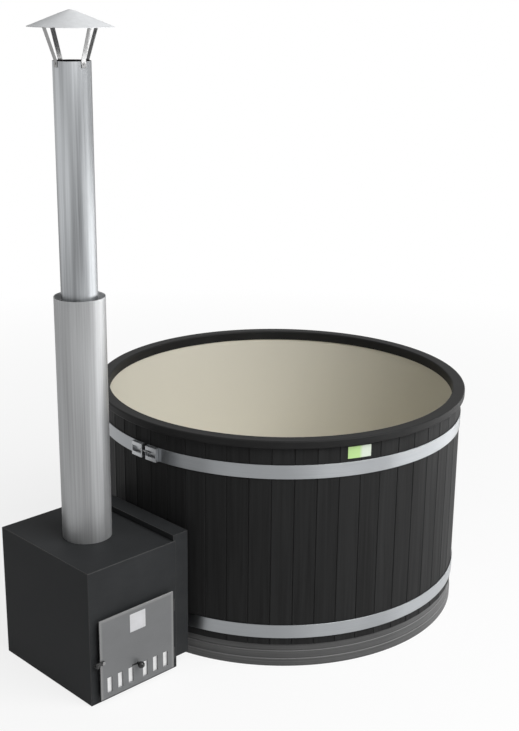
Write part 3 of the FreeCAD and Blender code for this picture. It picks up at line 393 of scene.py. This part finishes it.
def makeBadgeFinish():
    # Blank two-tone plate: green on the left, pale on the right, split at one angle round the tub
    look = badgeLook
    material, tree, shader = startFinish("badgePrint", **{"Specular IOR Level": look["shine"],
                                                          "Coat Weight": look["coat"],
                                                          "Coat Roughness": look["coatRough"]})
    parts = partsOf(tree, stretchedCoords(tree))
    angle = mathOf(tree, "ARCTAN2", parts["Y"], parts["X"])
    split, soft = math.radians(look["splitDeg"]), math.radians(look["softDeg"])
    side = shareOf(tree, angle, split - soft, split + soft)
    fade = noiseOf(tree, stretchedCoords(tree, look["fade"]))
    colour = blendColours(tree, side, look["green"], look["pale"])
    joinUp(tree, shader, Base_Color=colour, Roughness=rangeOf(tree, fade, 0.32, 0.45),
           Normal=bumpOf(tree, fade, strength=0.05, distance=0.0004))
    return material


plateLook = {"pale": (0.62, 0.62, 0.64, 1.0), "dull": (0.54, 0.54, 0.55, 1.0), "heat": (24.0, 24.0, 24.0),
             "fibre": 700.0, "shine": 0.4}


def makePlateFinish():
    # Blank pale label on the door, dulled by heat in patches
    look = plateLook
    material, tree, shader = startFinish("blankLabel", **{"Specular IOR Level": look["shine"]})
    heat = noiseOf(tree, stretchedCoords(tree, look["heat"]), detail=5.0, roughness=0.6)
    fibre = noiseOf(tree, stretchedCoords(tree), look["fibre"], detail=2.0)
    colour = blendColours(tree, shareOf(tree, heat), look["pale"], look["dull"])
    joinUp(tree, shader, Base_Color=colour, Roughness=rangeOf(tree, heat, 0.4, 0.6),
           Normal=bumpOf(tree, fibre, strength=0.1, distance=0.0002))
    return material


# Painted shade on the slider above its slots' top edges, where the door panel shades it
sliderPaintedShade = {"above": 0.1082, "fade": 0.001, "tone": grey(0.13)}
finishes = {
    "stave": makeStaveFinish(),
    "base": makeBaseFinish(),
    "rim": makeRimFinish(),
    "liner": makeLinerFinish(),
    "timber": makeTimberFinish(),
    "band": makeBrushedFinish("bandSteel", dark=grey(0.29, 0.010), light=grey(0.39, 0.014),
                              streaks=(2.0, 700.0, 1.0), rough=(0.34, 0.46), source="UV",
                              stretch=0.9, edge=1.0),
    "fitting": makeBrushedFinish("fittingSteel", dark=grey(0.24), light=grey(0.36),
                                 streaks=(90.0, 90.0, 90.0), rough=(0.24, 0.40)),
    "lug": makeBrushedFinish("lugSteel", dark=grey(0.42, 0.010), light=grey(0.56, 0.014),
                             streaks=(90.0, 90.0, 90.0), rough=(0.34, 0.46)),
    # The flue's broad dark and pale patches are partly the steel's streaky tone and partly painted
    # reflection; the slice of noise sets where the dark strips fall
    "flue": makeBrushedFinish("flueSteel", dark=grey(0.15, 0.005), light=grey(0.57, 0.018),
                              streaks=(48.0, 0.6, 1.0), rough=(0.42, 0.50), source="UV", spread=0.13,
                              edge=1.0, waves=(14.0, 0.5, 1.0), waveHeight=0.002,
                              blotchesAndReflections=(17.0, 1.1, 1.0), patternDepth=7.3),
    "soot": makePaintFinish("flueSoot", dark=grey(0.010), light=grey(0.022), rough=(0.8, 0.95),
                            texture=300.0, depth=0.0008, gloss=0.1),
    "shield": makeBrushedFinish("shieldSteel", dark=grey(0.270, 0.003), light=grey(0.505, 0.008),
                                streaks=(130.0, 1.2, 1.0), rough=(0.40, 0.50), source="UV", spread=0.15,
                                metal=0.62, waves=(18.0, 0.8, 1.0), waveHeight=0.002,
                                blotchesAndReflections=(11.0, 1.0, 1.0)),
    # The shield's inside is a paler, dull copy of its steel: painted light on the inner wall, where little
    # light reaches
    "shieldInside": makeBrushedFinish("shieldInside", dark=grey(0.80), light=grey(0.90),
                                      streaks=(130.0, 1.2, 1.0), rough=(0.40, 0.55), source="UV", metal=0.0),
    "cap": makeBrushedFinish("capSteel", dark=grey(0.61, 0.011), light=grey(0.72, 0.015),
                             streaks=(40.0, 40.0, 40.0), rough=(0.50, 0.60), metal=0.03, edge=0.1,
                             shine=0.05),
    "casing": makePaintFinish("stovePaint", dark=grey(0.0220, 0.0010), light=grey(0.0345, 0.0016),
                              rough=(0.50, 0.64), texture=620.0, depth=0.0006, gloss=0.08),
    "casingEdge": makePaintFinish("stovePaintEdge", dark=grey(0.024), light=grey(0.045), rough=(0.40, 0.52),
                                  texture=620.0, depth=0.0006, gloss=0.25),
    # The door's paler strip along its top and sides is a painted highlight
    "door": makePaintFinish("doorPaint", dark=grey(0.147, 0.003), light=grey(0.181, 0.004),
                            rough=(0.40, 0.52), texture=800.0, depth=0.0004, metallic=0.35,
                            paintedEdgeLight=("door_panel", 0.014)),
    "doorEdge": makePaintFinish("doorPaintEdge", dark=grey(0.28), light=grey(0.36), rough=(0.30, 0.42),
                                texture=800.0, depth=0.0004, metallic=0.5),
    "slider": makeBrushedFinish("sliderSteel", dark=grey(0.72), light=grey(0.86),
                                streaks=(30.0, 30.0, 400.0), rough=(0.34, 0.48), soot=sliderPaintedShade),
    "hardware": makePaintFinish("hardwarePaint", dark=grey(0.030), light=grey(0.055), rough=(0.42, 0.56),
                                texture=500.0, depth=0.0005, metallic=0.2, gloss=0.3),
    "fireSteel": makePaintFinish("fireSteel", dark=grey(0.05), light=grey(0.12), rough=(0.6, 0.8),
                                 texture=240.0, depth=0.0008, metallic=0.5),
    "iron": makeIronFinish(),
    "rope": makeRopeFinish(),
    "knob": makeRubberFinish("knobPlastic", tone=0.012, rough=0.18, texture=300.0),
    "rubber": makeRubberFinish("sealRubber", tone=0.025, rough=0.6, texture=500.0),
    "plastic": makeRubberFinish("pipePlastic", tone=0.075, rough=0.38, texture=400.0),
    "badge": makeBadgeFinish(),
    "plate": makePlateFinish(),
}
print("finishes made:", len(finishes))


# Surfaces: grids of points with their own UV in metres

def roundedOutline(corners, rounds, steps=5, hold=0.0012):
    # Each corner is swapped for the arc of its radius that touches both sides:
    # it starts at the radius over the tangent of half the corner's angle from the corner.
    # A point held just past each end of an arc keeps the long flat beyond it flat in its shading.
    corners = np.array(corners, float)
    toBefore, toAfter = np.roll(corners, 1, 0) - corners, np.roll(corners, -1, 0) - corners
    sideBefore, sideAfter = np.linalg.norm(toBefore, axis=1), np.linalg.norm(toAfter, axis=1)
    toBefore, toAfter = toBefore / sideBefore[:, None], toAfter / sideAfter[:, None]
    halves = np.arccos(np.clip((toBefore * toAfter).sum(1), -1, 1)) / 2
    reaches = np.array(rounds, float) / np.tan(halves)
    roomBefore = sideBefore - reaches - np.roll(reaches, 1)
    roomAfter = sideAfter - reaches - np.roll(reaches, -1)
    roomNeeded = 3 * hold
    share = np.linspace(0, 1, steps + 1)[:, None]
    made = []
    for index, radius in enumerate(rounds):
        here, before, after, reach = corners[index], toBefore[index], toAfter[index], reaches[index]
        if radius <= 0:
            made.append(here[None])
            continue
        inwards = (before + after) / np.linalg.norm(before + after)
        middle = here + inwards * radius / math.sin(halves[index])
        start, end = here + before * reach - middle, here + after * reach - middle
        turn = math.acos(np.clip(start @ end / radius ** 2, -1, 1))
        arc = middle + (np.sin((1 - share) * turn) * start + np.sin(share * turn) * end) / math.sin(turn)
        if roomBefore[index] > roomNeeded:
            made.append((here + before * (reach + hold))[None])
        made.append(arc)
        if roomAfter[index] > roomNeeded:
            made.append((here + after * (reach + hold))[None])
    return np.concatenate(made)


def meshFromGrid(name, grid, wrapPath, wrapProfile, capEnds=False):
    # Quads between neighbouring points of a grid (path by profile), with UV from the lengths
    # along the path and along the profile; end rings may be closed with one face each.
    pathCount, profileCount = grid.shape[:2]
    rows = np.arange(pathCount if wrapPath else pathCount - 1)
    columns = np.arange(profileCount if wrapProfile else profileCount - 1)
    row, column = (index.ravel() for index in np.meshgrid(rows, columns, indexing="ij"))
    nextRow, nextColumn = row + 1, column + 1
    around = ((row, column), (nextRow, column), (nextRow, nextColumn), (row, nextColumn))
    quads = np.stack([(r % pathCount) * profileCount + c % profileCount for r, c in around], 1)
    along = np.linalg.norm(np.diff(grid, axis=0, append=grid[:1]), axis=2).max(1)
    across = np.linalg.norm(np.diff(grid, axis=1, append=grid[:, :1]), axis=2).max(0)
    along, across = (np.concatenate([[0], np.cumsum(lengths)]) for lengths in (along, across))
    uv = np.stack([np.stack([along[r], across[c]], 1) for r, c in around], 1).reshape(-1, 2)
    faces = quads.tolist()
    if capEnds:
        first = list(range(profileCount))
        last = [(pathCount - 1) * profileCount + point for point in first]
        faces += [first[::-1], last]
        uv = np.concatenate([uv, np.zeros((2 * profileCount, 2))])
    mesh = bpy.data.meshes.new(name)
    mesh.from_pydata(grid.reshape(-1, 3).tolist(), [], faces)
    mesh.uv_layers.new(name="UVMap").data.foreach_set("uv", uv.astype(np.float32).ravel())
    return mesh


def middleOf(node):
    # The place of a node's centre in plan
    low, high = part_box(node)
    return (low.x + high.x) / 2, (low.y + high.y) / 2


def ringOf(node):
    # Centre and radius of the largest circle inside a round node's box
    low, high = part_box(node)
    return middleOf(node), min(high.x - low.x, high.y - low.y) / 2


def turnedGrid(profile, centre, count, startDeg=0.0, sweepDeg=360.0):
    # A profile of radius and height carried round a vertical axis: x = cx + r cos a, y = cy + r sin a
    whole = sweepDeg >= 360.0
    angles = np.radians(startDeg + np.linspace(0, sweepDeg, count, endpoint=not whole))[:, None]
    radius, height = profile[:, 0], profile[:, 1]
    return np.stack([centre[0] + radius * np.cos(angles), centre[1] + radius * np.sin(angles),
                     np.broadcast_to(height, (count, len(profile)))], 2)


meshCare = {"mergeGap": 1e-6, "sliverGap": 1e-7, "flatDeg": 0.4, "sharpDeg": 38.0, "bevelDeg": 40.0}


def smoothEdges(mesh):
    mesh.polygons.foreach_set("use_smooth", [True] * len(mesh.polygons))
    mesh.set_sharp_from_angle(angle=math.radians(meshCare["sharpDeg"]))


def closeUp(mesh):
    # Poles are merged and all faces turned outwards
    shape = bmesh.new()
    shape.from_mesh(mesh)
    bmesh.ops.remove_doubles(shape, verts=shape.verts, dist=meshCare["mergeGap"])
    bmesh.ops.dissolve_degenerate(shape, edges=shape.edges, dist=meshCare["sliverGap"])
    bmesh.ops.recalc_face_normals(shape, faces=shape.faces)
    shape.to_mesh(mesh)
    shape.free()


def addPiece(name, mesh, node, *looks):
    # A finished piece takes its node's place and body
    piece = bpy.data.objects.new(name, mesh)
    scene.collection.objects.link(piece)
    mesh.materials.clear()
    for look in looks:
        mesh.materials.append(finishes[look])
    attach(piece, bodyOf[node])
    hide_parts(node)
    return piece


drillShape = {"points": 48, "overrun": 0.01, "wallOverrun": 0.02}


def drill(piece, holes):
    # Round holes along X or Z, cut out of a closed piece: axis, centre, start, end and radius
    count = drillShape["points"]
    ring = np.linspace(0, 2 * np.pi, count, endpoint=False)
    for axis, centre, start, end, radius in holes:
        first, second = centre[0] + radius * np.cos(ring), centre[1] + radius * np.sin(ring)
        ends = []
        for place in (start, end):
            level = np.full(count, place)
            order = (level, first, second) if axis == "X" else (first, second, level)
            ends.append(np.stack(order, 1))
        mesh = meshFromGrid("drillBit", np.stack(ends), False, True, True)
        closeUp(mesh)
        bit = bpy.data.objects.new("drillBit", mesh)
        scene.collection.objects.link(bit)
        cutter = piece.modifiers.new("drill", "BOOLEAN")
        cutter.operation = "DIFFERENCE"
        cutter.solver = "EXACT"
        cutter.object = bit
        bpy.context.view_layer.update()
        solid = bpy.data.meshes.new_from_object(piece.evaluated_get(bpy.context.evaluated_depsgraph_get()))
        piece.modifiers.remove(cutter)
        piece.data = solid
        bpy.data.objects.remove(bit)
    smoothEdges(piece.data)


def softened(node, width, *looks, segments=2):
    # A merged copy of a CAD node whose hard edges get a small round; the round may have its own finish
    shape = bmesh.new()
    shape.from_mesh(frame["nodes"][node].data)
    bmesh.ops.remove_doubles(shape, verts=shape.verts, dist=meshCare["mergeGap"])
    flat = math.radians(meshCare["flatDeg"])
    bmesh.ops.dissolve_limit(shape, angle_limit=flat, verts=shape.verts, edges=shape.edges)
    mesh = bpy.data.meshes.new(node + "Soft")
    shape.to_mesh(mesh)
    shape.free()
    smoothEdges(mesh)
    piece = addPiece(node + "Soft", mesh, node, *looks)
    if width > 0:
        easing = piece.modifiers.new("edgeRound", "BEVEL")
        easing.width = width
        easing.segments = segments
        easing.limit_method = "ANGLE"
        easing.angle_limit = math.radians(meshCare["bevelDeg"])
        easing.use_clamp_overlap = True
        easing.harden_normals = True
        easing.material = len(looks) - 1 if len(looks) > 1 else -1


def softenAll(edges, segments=2):
    # A table of nodes, each with the width of its rounds and its finishes
    for node, (width, *looks) in edges.items():
        softened(node, width, *looks, segments=segments)


# Tub

pipeLines = {"levels": (0.250, 0.490), "holeRadius": 0.0303}
linerShape = {"wall": 0.005, "corner": 0.045, "turns": 160, "lipRound": 0.0012, "arcSteps": 8,
              "drainRadius": 0.0243}


def makeLiner():
    # Wall and floor of one thickness, turned about the tub's axis, with a coved corner inside and out
    shape = linerShape
    low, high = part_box("liner")
    outer = ringOf("liner")[1]
    inner = outer - shape["wall"]
    floor = low.z + shape["wall"]
    corners = [(0, low.z), (outer, low.z), (outer, high.z), (inner, high.z), (inner, floor), (0, floor)]
    lip, cove = shape["lipRound"], shape["corner"]
    profile = roundedOutline(corners, [0, cove, lip, lip, cove - shape["wall"], 0], shape["arcSteps"])
    mesh = meshFromGrid("linerShell", turnedGrid(profile, (0, 0), shape["turns"]), True, False)
    closeUp(mesh)
    piece = addPiece("linerShell", mesh, "liner", "liner")
    start, end = -outer - drillShape["wallOverrun"], -inner + drillShape["wallOverrun"]
    holes = [("X", (0, level), start, end, pipeLines["holeRadius"]) for level in pipeLines["levels"]]
    below, above = low.z - drillShape["overrun"], floor + drillShape["overrun"]
    drill(piece, holes + [("Z", middleOf("drain_fitting"), below, above, shape["drainRadius"])])


rimShape = {"topWall": 0.007, "innerWall": 0.0034, "outerDrop": 0.033, "outerGap": 0.0006, "innerGap": 0.0003,
            "round": 0.0062, "footRound": 0.0012, "turns": 192}


def makeRim():
    # An upside-down channel over the wall, turned about the tub's axis, with full rounds on its top edges
    shape = rimShape
    low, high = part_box("rim_ring")
    rimOut = ringOf("rim_ring")[1]
    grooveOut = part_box("base_ring")[1].x + shape["outerGap"]
    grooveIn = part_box("liner")[1].x - linerShape["wall"] - shape["innerGap"]
    inside = grooveIn - shape["innerWall"]
    outerFoot = high.z - shape["outerDrop"]
    ceiling = high.z - shape["topWall"]
    corners = [(inside, low.z), (inside, high.z), (rimOut, high.z), (rimOut, outerFoot),
               (grooveOut, outerFoot), (grooveOut, ceiling), (grooveIn, ceiling), (grooveIn, low.z)]
    foot, full = shape["footRound"], shape["round"]
    profile = roundedOutline(corners, [foot, full, full, full, foot, 0, 0, foot])
    mesh = meshFromGrid("rimProfile", turnedGrid(profile, (0, 0), shape["turns"]), True, True)
    closeUp(mesh)
    smoothEdges(mesh)
    addPiece("rimProfile", mesh, "rim_ring", "rim")


baseShape = {"tiers": 3, "tier": 0.033, "ledge": 0.0045, "wall": 0.046, "round": 0.0018, "turns": 192,
             "arcSteps": 3, "outletLevel": 0.034, "outletRadius": 0.0276, "outletInset": 0.05}


def makeBase():
    # Three bent strips, each a little narrower than the one below, turned as one stepped ring
    shape = baseShape
    low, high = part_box("base_ring")
    foot = ringOf("base_ring")[1]
    bore = foot - shape["wall"]
    corners, rounds = [(bore, low.z)], [shape["round"]]
    for tier in range(shape["tiers"]):
        radius = foot - tier * shape["ledge"]
        top = high.z if tier == shape["tiers"] - 1 else (tier + 1) * shape["tier"]
        corners += [(radius, tier * shape["tier"]), (radius, top)]
        rounds += [shape["round"] / 2, shape["round"]]
    corners.append((bore, high.z))
    rounds.append(shape["round"])
    profile = roundedOutline(corners, rounds, shape["arcSteps"])
    mesh = meshFromGrid("baseSteps", turnedGrid(profile, (0, 0), shape["turns"]), True, True)
    closeUp(mesh)
    piece = addPiece("baseSteps", mesh, "base_ring", "base")
    outlet = (middleOf("drain_pipe")[1], shape["outletLevel"])
    start, end = bore - shape["outletInset"], high.x + drillShape["overrun"]
    drill(piece, [("X", outlet, start, end, shape["outletRadius"])])


bandShape = {"sheet": 0.003, "round": 0.0009, "gap": 0.020, "turns": 240, "arcSteps": 3, "endSlackDeg": 1e-4,
             "hoops": (("upper_band", 182.3), ("lower_band", 90.0))}


def makeBands():
    # A flat strip with eased edges carried round the tub, open at its tensioner
    shape = bandShape
    for node, gapDeg in shape["hoops"]:
        low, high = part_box(node)
        outer = max(high.x, high.y, -low.x, -low.y)
        inner = outer - shape["sheet"]
        openDeg = math.degrees(shape["gap"] / outer)
        corners = [(inner, low.z), (outer, low.z), (outer, high.z), (inner, high.z)]
        profile = roundedOutline(corners, [shape["round"]] * 4, shape["arcSteps"])
        sweepDeg = 360.0 - openDeg - shape["endSlackDeg"]
        grid = turnedGrid(profile, (0, 0), shape["turns"], gapDeg + openDeg / 2, sweepDeg)
        mesh = meshFromGrid(node + "Hoop", grid, False, True, True)
        closeUp(mesh)
        smoothEdges(mesh)
        addPiece(node + "Hoop", mesh, node, "band")


tubEdges = {
    "staves": (0.0012, "stave"),
    "band_lugs": (0.0007, "lug"),
    "band_bolts": (0.0006, "fitting"),
    "band_nuts": (0.0006, "fitting"),
    "badge_plate": (0.0003, "badge"),
}
makeLiner()
makeRim()
makeBase()
makeBands()
softenAll(tubEdges)
print("tub dressed")


# Stove

casingEdges = {
    "stove_casing": (0.0022, "casing", "casingEdge"),
    "connection_shroud": (0.0018, "casing", "casingEdge"),
}
doorEdges = {
    "door_frame": (0.0010, "hardware"),
    "door_panel": (0.0009, "door", "doorEdge"),
    "door_back": (0.0006, "door"),
    "door_plate": (0.0002, "plate"),
    "draft_slider": (0.0003, "slider"),
    "hinge_brackets": (0.0006, "hardware"),
    "door_knuckles": (0.0006, "hardware"),
    "hinge_pins": (0.0005, "hardware"),
    "latch_hook": (0.0008, "hardware"),
    "latch_pivot": (0.0010, "fitting"),
    "latch_keeper": (0.0008, "hardware"),
}
knobShape = {"stem": 0.004, "turns": 40, "arcPoints": 28}


def makeKnob():
    # Ball on a stem, turned about the axis that points out of the door: radius from the axis,
    # the ball as an arc down to where the stem leaves it
    shape = knobShape
    low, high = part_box("draft_knob")
    radius = (high.z - low.z) / 2
    centre = ((low.x + high.x) / 2, (low.z + high.z) / 2)
    ballAt = low.y + radius
    edge = math.asin(shape["stem"] / radius)
    arc = np.linspace(np.pi, edge, shape["arcPoints"])
    profile = np.stack([radius * np.sin(arc), ballAt + radius * np.cos(arc)], 1)
    profile = np.concatenate([profile, [(shape["stem"], high.y), (0, high.y)]])
    profile[0, 0] = 0
    grid = turnedGrid(profile, (0, 0), shape["turns"])
    # the turned axis becomes Y, the ring's sine side becomes height
    grid = np.stack([centre[0] + grid[..., 0], grid[..., 2], centre[1] + grid[..., 1]], 2)
    mesh = meshFromGrid("draftBall", grid, True, False)
    closeUp(mesh)
    smoothEdges(mesh)
    addPiece("draftBall", mesh, "draft_knob", "knob")


softenAll(casingEdges, segments=3)
softenAll(doorEdges)
makeKnob()
print("stove dressed")


# Flue

tubeShapes = {
    "flue_pipe": {"wall": 0.001, "round": 0.0004, "turns": 128, "arcSteps": 3, "finishes": ("flue", "soot")},
    "heat_shield": {"wall": 0.0012, "round": 0.0005, "turns": 144, "arcSteps": 3,
                    "finishes": ("shield", "shieldInside")},
}


def makeTubes():
    # Thin rolled sheet: a closed wall profile turned about the flue's axis, its inside in another finish
    for node, shape in tubeShapes.items():
        low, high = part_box(node)
        centre, outer = ringOf(node)
        inner = outer - shape["wall"]
        corners = [(inner, low.z), (outer, low.z), (outer, high.z), (inner, high.z)]
        profile = roundedOutline(corners, [shape["round"]] * 4, shape["arcSteps"])
        mesh = meshFromGrid(node + "Roll", turnedGrid(profile, centre, shape["turns"]), True, True)
        closeUp(mesh)
        smoothEdges(mesh)
        piece = addPiece(node + "Roll", mesh, node, *shape["finishes"])
        middles = np.empty(3 * len(mesh.polygons))
        mesh.polygons.foreach_get("center", middles)
        reach = np.hypot(*(middles.reshape(-1, 3)[:, :2] - centre).T)
        inside = (reach < inner + shape["round"] / 4).astype(np.int32)
        piece.data.polygons.foreach_set("material_index", inside)


capShape = {"sheet": 0.0012, "turns": 128, "rings": 26, "tipRound": 0.010}


def makeCap():
    # A shallow cone of sheet: height falls evenly with radius, eased into a small dome at the tip
    shape = capShape
    low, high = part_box("cap_cone")
    centre, brim = ringOf("cap_cone")
    sheet = shape["sheet"]
    rise = high.z - low.z - sheet
    radius = np.linspace(0, brim, shape["rings"])
    tip = shape["tipRound"]
    eased = np.sqrt(radius ** 2 + tip ** 2) - tip
    top = high.z - rise * eased / eased[-1]
    profile = np.concatenate([np.stack([radius, top], 1), np.stack([radius, top - sheet], 1)[::-1]])
    mesh = meshFromGrid("capCowl", turnedGrid(profile, centre, shape["turns"]), True, False)
    closeUp(mesh)
    smoothEdges(mesh)
    addPiece("capCowl", mesh, "cap_cone", "cap")


flueEdges = {
    "cap_struts": (0.0005, "fitting"),
    "cap_rivets": (0.0008, "fitting"),
    "flue_collar": (0.0, "fireSteel"),
}
makeTubes()
makeCap()
softenAll(flueEdges)
print("flue dressed")


# Pieces whose CAD shape is right as it stands

plainNodes = {
    "timber": ("base_joists", "floor_boards"),
    "plastic": ("drain_fitting", "drain_pipe", "tank_stubs", "wall_fittings", "wall_nuts", "port_grilles"),
    "rubber": ("drain_plug", "wall_seals", "hose_sleeves"),
    "fitting": ("hose_clamps", "shield_spacers"),
    "fireSteel": ("stove_feet", "jacket_tank", "firebox", "grate_rails", "door_spacers"),
    "iron": ("grate",),
    "rope": ("door_gasket",),
}
for look, nodes in plainNodes.items():
    for node in nodes:
        mesh = frame["nodes"][node].data
        mesh.materials.clear()
        mesh.materials.append(finishes[look])
print("plain pieces finished")


# Stage, light and camera

stageLook = {"floorSize": 80.0, "floorColour": (0.90, 0.90, 0.90, 1.0), "glowNear": 0.82, "glowFar": 1.0,
             "nearEdge": 1.8, "farEdge": 6.0, "middle": (-0.3, 0.0, 0.0)}
# Tone of the surround by height above the horizon in degrees: white low down, a grey band, a white ceiling
studioLook = {"fill": 0.14, "tones": ((-90, 1.0), (5, 1.0), (13, 0.38), (20, 0.38), (31, 1.0), (90, 1.0))}


def rampOf(tree, factor, stops):
    node = addNode(tree, "ShaderNodeValToRGB", {"Fac": factor})
    marks = node.color_ramp.elements
    while len(marks) < len(stops):
        marks.new(0.5)
    for mark, (place, value) in zip(marks, stops):
        mark.position = place
        mark.color = (value, value, value, 1.0)
    return node.outputs["Color"]


def seenByEye(tree):
    # One for rays that come from the camera, straight or by way of a mirror or glass
    path = addNode(tree, "ShaderNodeLightPath").outputs
    seen = mathOf(tree, "MAXIMUM", path["Is Camera Ray"], path["Is Glossy Ray"])
    return mathOf(tree, "MAXIMUM", seen, path["Is Transmission Ray"])


def makeFloor():
    # White to the eye far off, and near the tub still matte enough to keep its shadow
    look = stageLook
    half = look["floorSize"] / 2
    corners = [(-half, -half, 0), (half, -half, 0), (half, half, 0), (-half, half, 0)]
    mesh = bpy.data.meshes.new("studioFloor")
    mesh.from_pydata(corners, [], [(0, 1, 2, 3)])
    floor = bpy.data.objects.new("studioFloor", mesh)
    scene.collection.objects.link(floor)
    material = bpy.data.materials.new("studioFloor")
    material.use_nodes = True
    tree = material.node_tree
    tree.nodes.clear()
    coords = addNode(tree, "ShaderNodeTexCoord").outputs["Object"]
    away = addNode(tree, "ShaderNodeVectorMath", {0: coords, 1: look["middle"]}, operation="DISTANCE")
    glowShare = rangeOf(tree, away.outputs["Value"], look["glowNear"], look["glowFar"],
                        look["nearEdge"], look["farEdge"])
    matte = addNode(tree, "ShaderNodeBsdfDiffuse", {"Color": look["floorColour"]})
    glow = addNode(tree, "ShaderNodeEmission", {"Color": (1, 1, 1, 1), "Strength": 1.0})
    share = mathOf(tree, "MULTIPLY", seenByEye(tree), glowShare)
    mixed = addNode(tree, "ShaderNodeMixShader", {0: share, 1: matte.outputs[0], 2: glow.outputs[0]})
    addNode(tree, "ShaderNodeOutputMaterial", {"Surface": mixed.outputs[0]})
    mesh.materials.append(material)


def makeStudio():
    # Camera, mirrors and glass all see the same surround, the rest is an even soft fill
    look = studioLook
    world = bpy.data.worlds.new("studio")
    scene.world = world
    world.use_nodes = True
    tree = world.node_tree
    direction = partsOf(tree, addNode(tree, "ShaderNodeTexCoord").outputs["Generated"])
    height = shareOf(tree, direction["Z"], -1.0, 1.0)
    stops = [((math.sin(math.radians(deg)) + 1) / 2, tone) for deg, tone in look["tones"]]
    surround = rampOf(tree, height, stops)
    colour = blendColours(tree, seenByEye(tree), grey(look["fill"]), surround)
    tree.links.new(colour, tree.nodes["Background"].inputs["Color"])


lamps = {
    "keySoftbox": {"place": (0.4, -4.7, 5.6), "aim": (-0.1, 0.1, 0.6), "size": (5.6, 4.2), "watts": 490.0},
    "sideSoftbox": {"place": (3.7, -2.6, 0.50), "aim": (0.0, 0.0, 0.45), "size": (6.2, 0.85), "watts": 108.0},
}


def makeLamps():
    for name, setup in lamps.items():
        lamp = bpy.data.lights.new(name, "AREA")
        lamp.shape = "RECTANGLE"
        lamp.size, lamp.size_y = setup["size"]
        lamp.energy = setup["watts"]
        holder = bpy.data.objects.new(name, lamp)
        scene.collection.objects.link(holder)
        away = Vector(setup["place"]) - Vector(setup["aim"])
        turn = away.to_track_quat("Z", "Y").to_matrix().to_4x4()
        holder.matrix_world = Matrix.Translation(setup["place"]) @ turn


cameraSetup = {"place": (-3.7627, -3.7053, 2.6774), "headingDeg": 44.397, "pitchDeg": 17.166,
               "rollDeg": 0.646, "lensMm": 60.497, "sensorMm": 36.0, "sightM": 200.0}


def makeCamera():
    # The heading turns from +Y towards +X, the pitch looks down, the roll turns about the view
    setup = cameraSetup
    heading, pitch, roll = (math.radians(setup[key]) for key in ("headingDeg", "pitchDeg", "rollDeg"))
    level = Vector((math.sin(heading), math.cos(heading), 0))
    forward = level * math.cos(pitch) - Vector((0, 0, 1)) * math.sin(pitch)
    right = level.cross(Vector((0, 0, 1)))
    up = right.cross(forward)
    sideways = right * math.cos(roll) + up * math.sin(roll)
    upwards = up * math.cos(roll) - right * math.sin(roll)
    data = bpy.data.cameras.new("photoCamera")
    data.sensor_fit = "VERTICAL"
    data.sensor_height = setup["sensorMm"]
    data.lens = setup["lensMm"]
    data.clip_end = setup["sightM"]
    camera = bpy.data.objects.new("photoCamera", data)
    scene.collection.objects.link(camera)
    turn = Matrix((sideways, upwards, -forward)).transposed().to_4x4()
    camera.matrix_world = Matrix.Translation(setup["place"]) @ turn
    scene.camera = camera


makeFloor()
makeStudio()
makeLamps()
makeCamera()
print("stage, lamps and camera set")
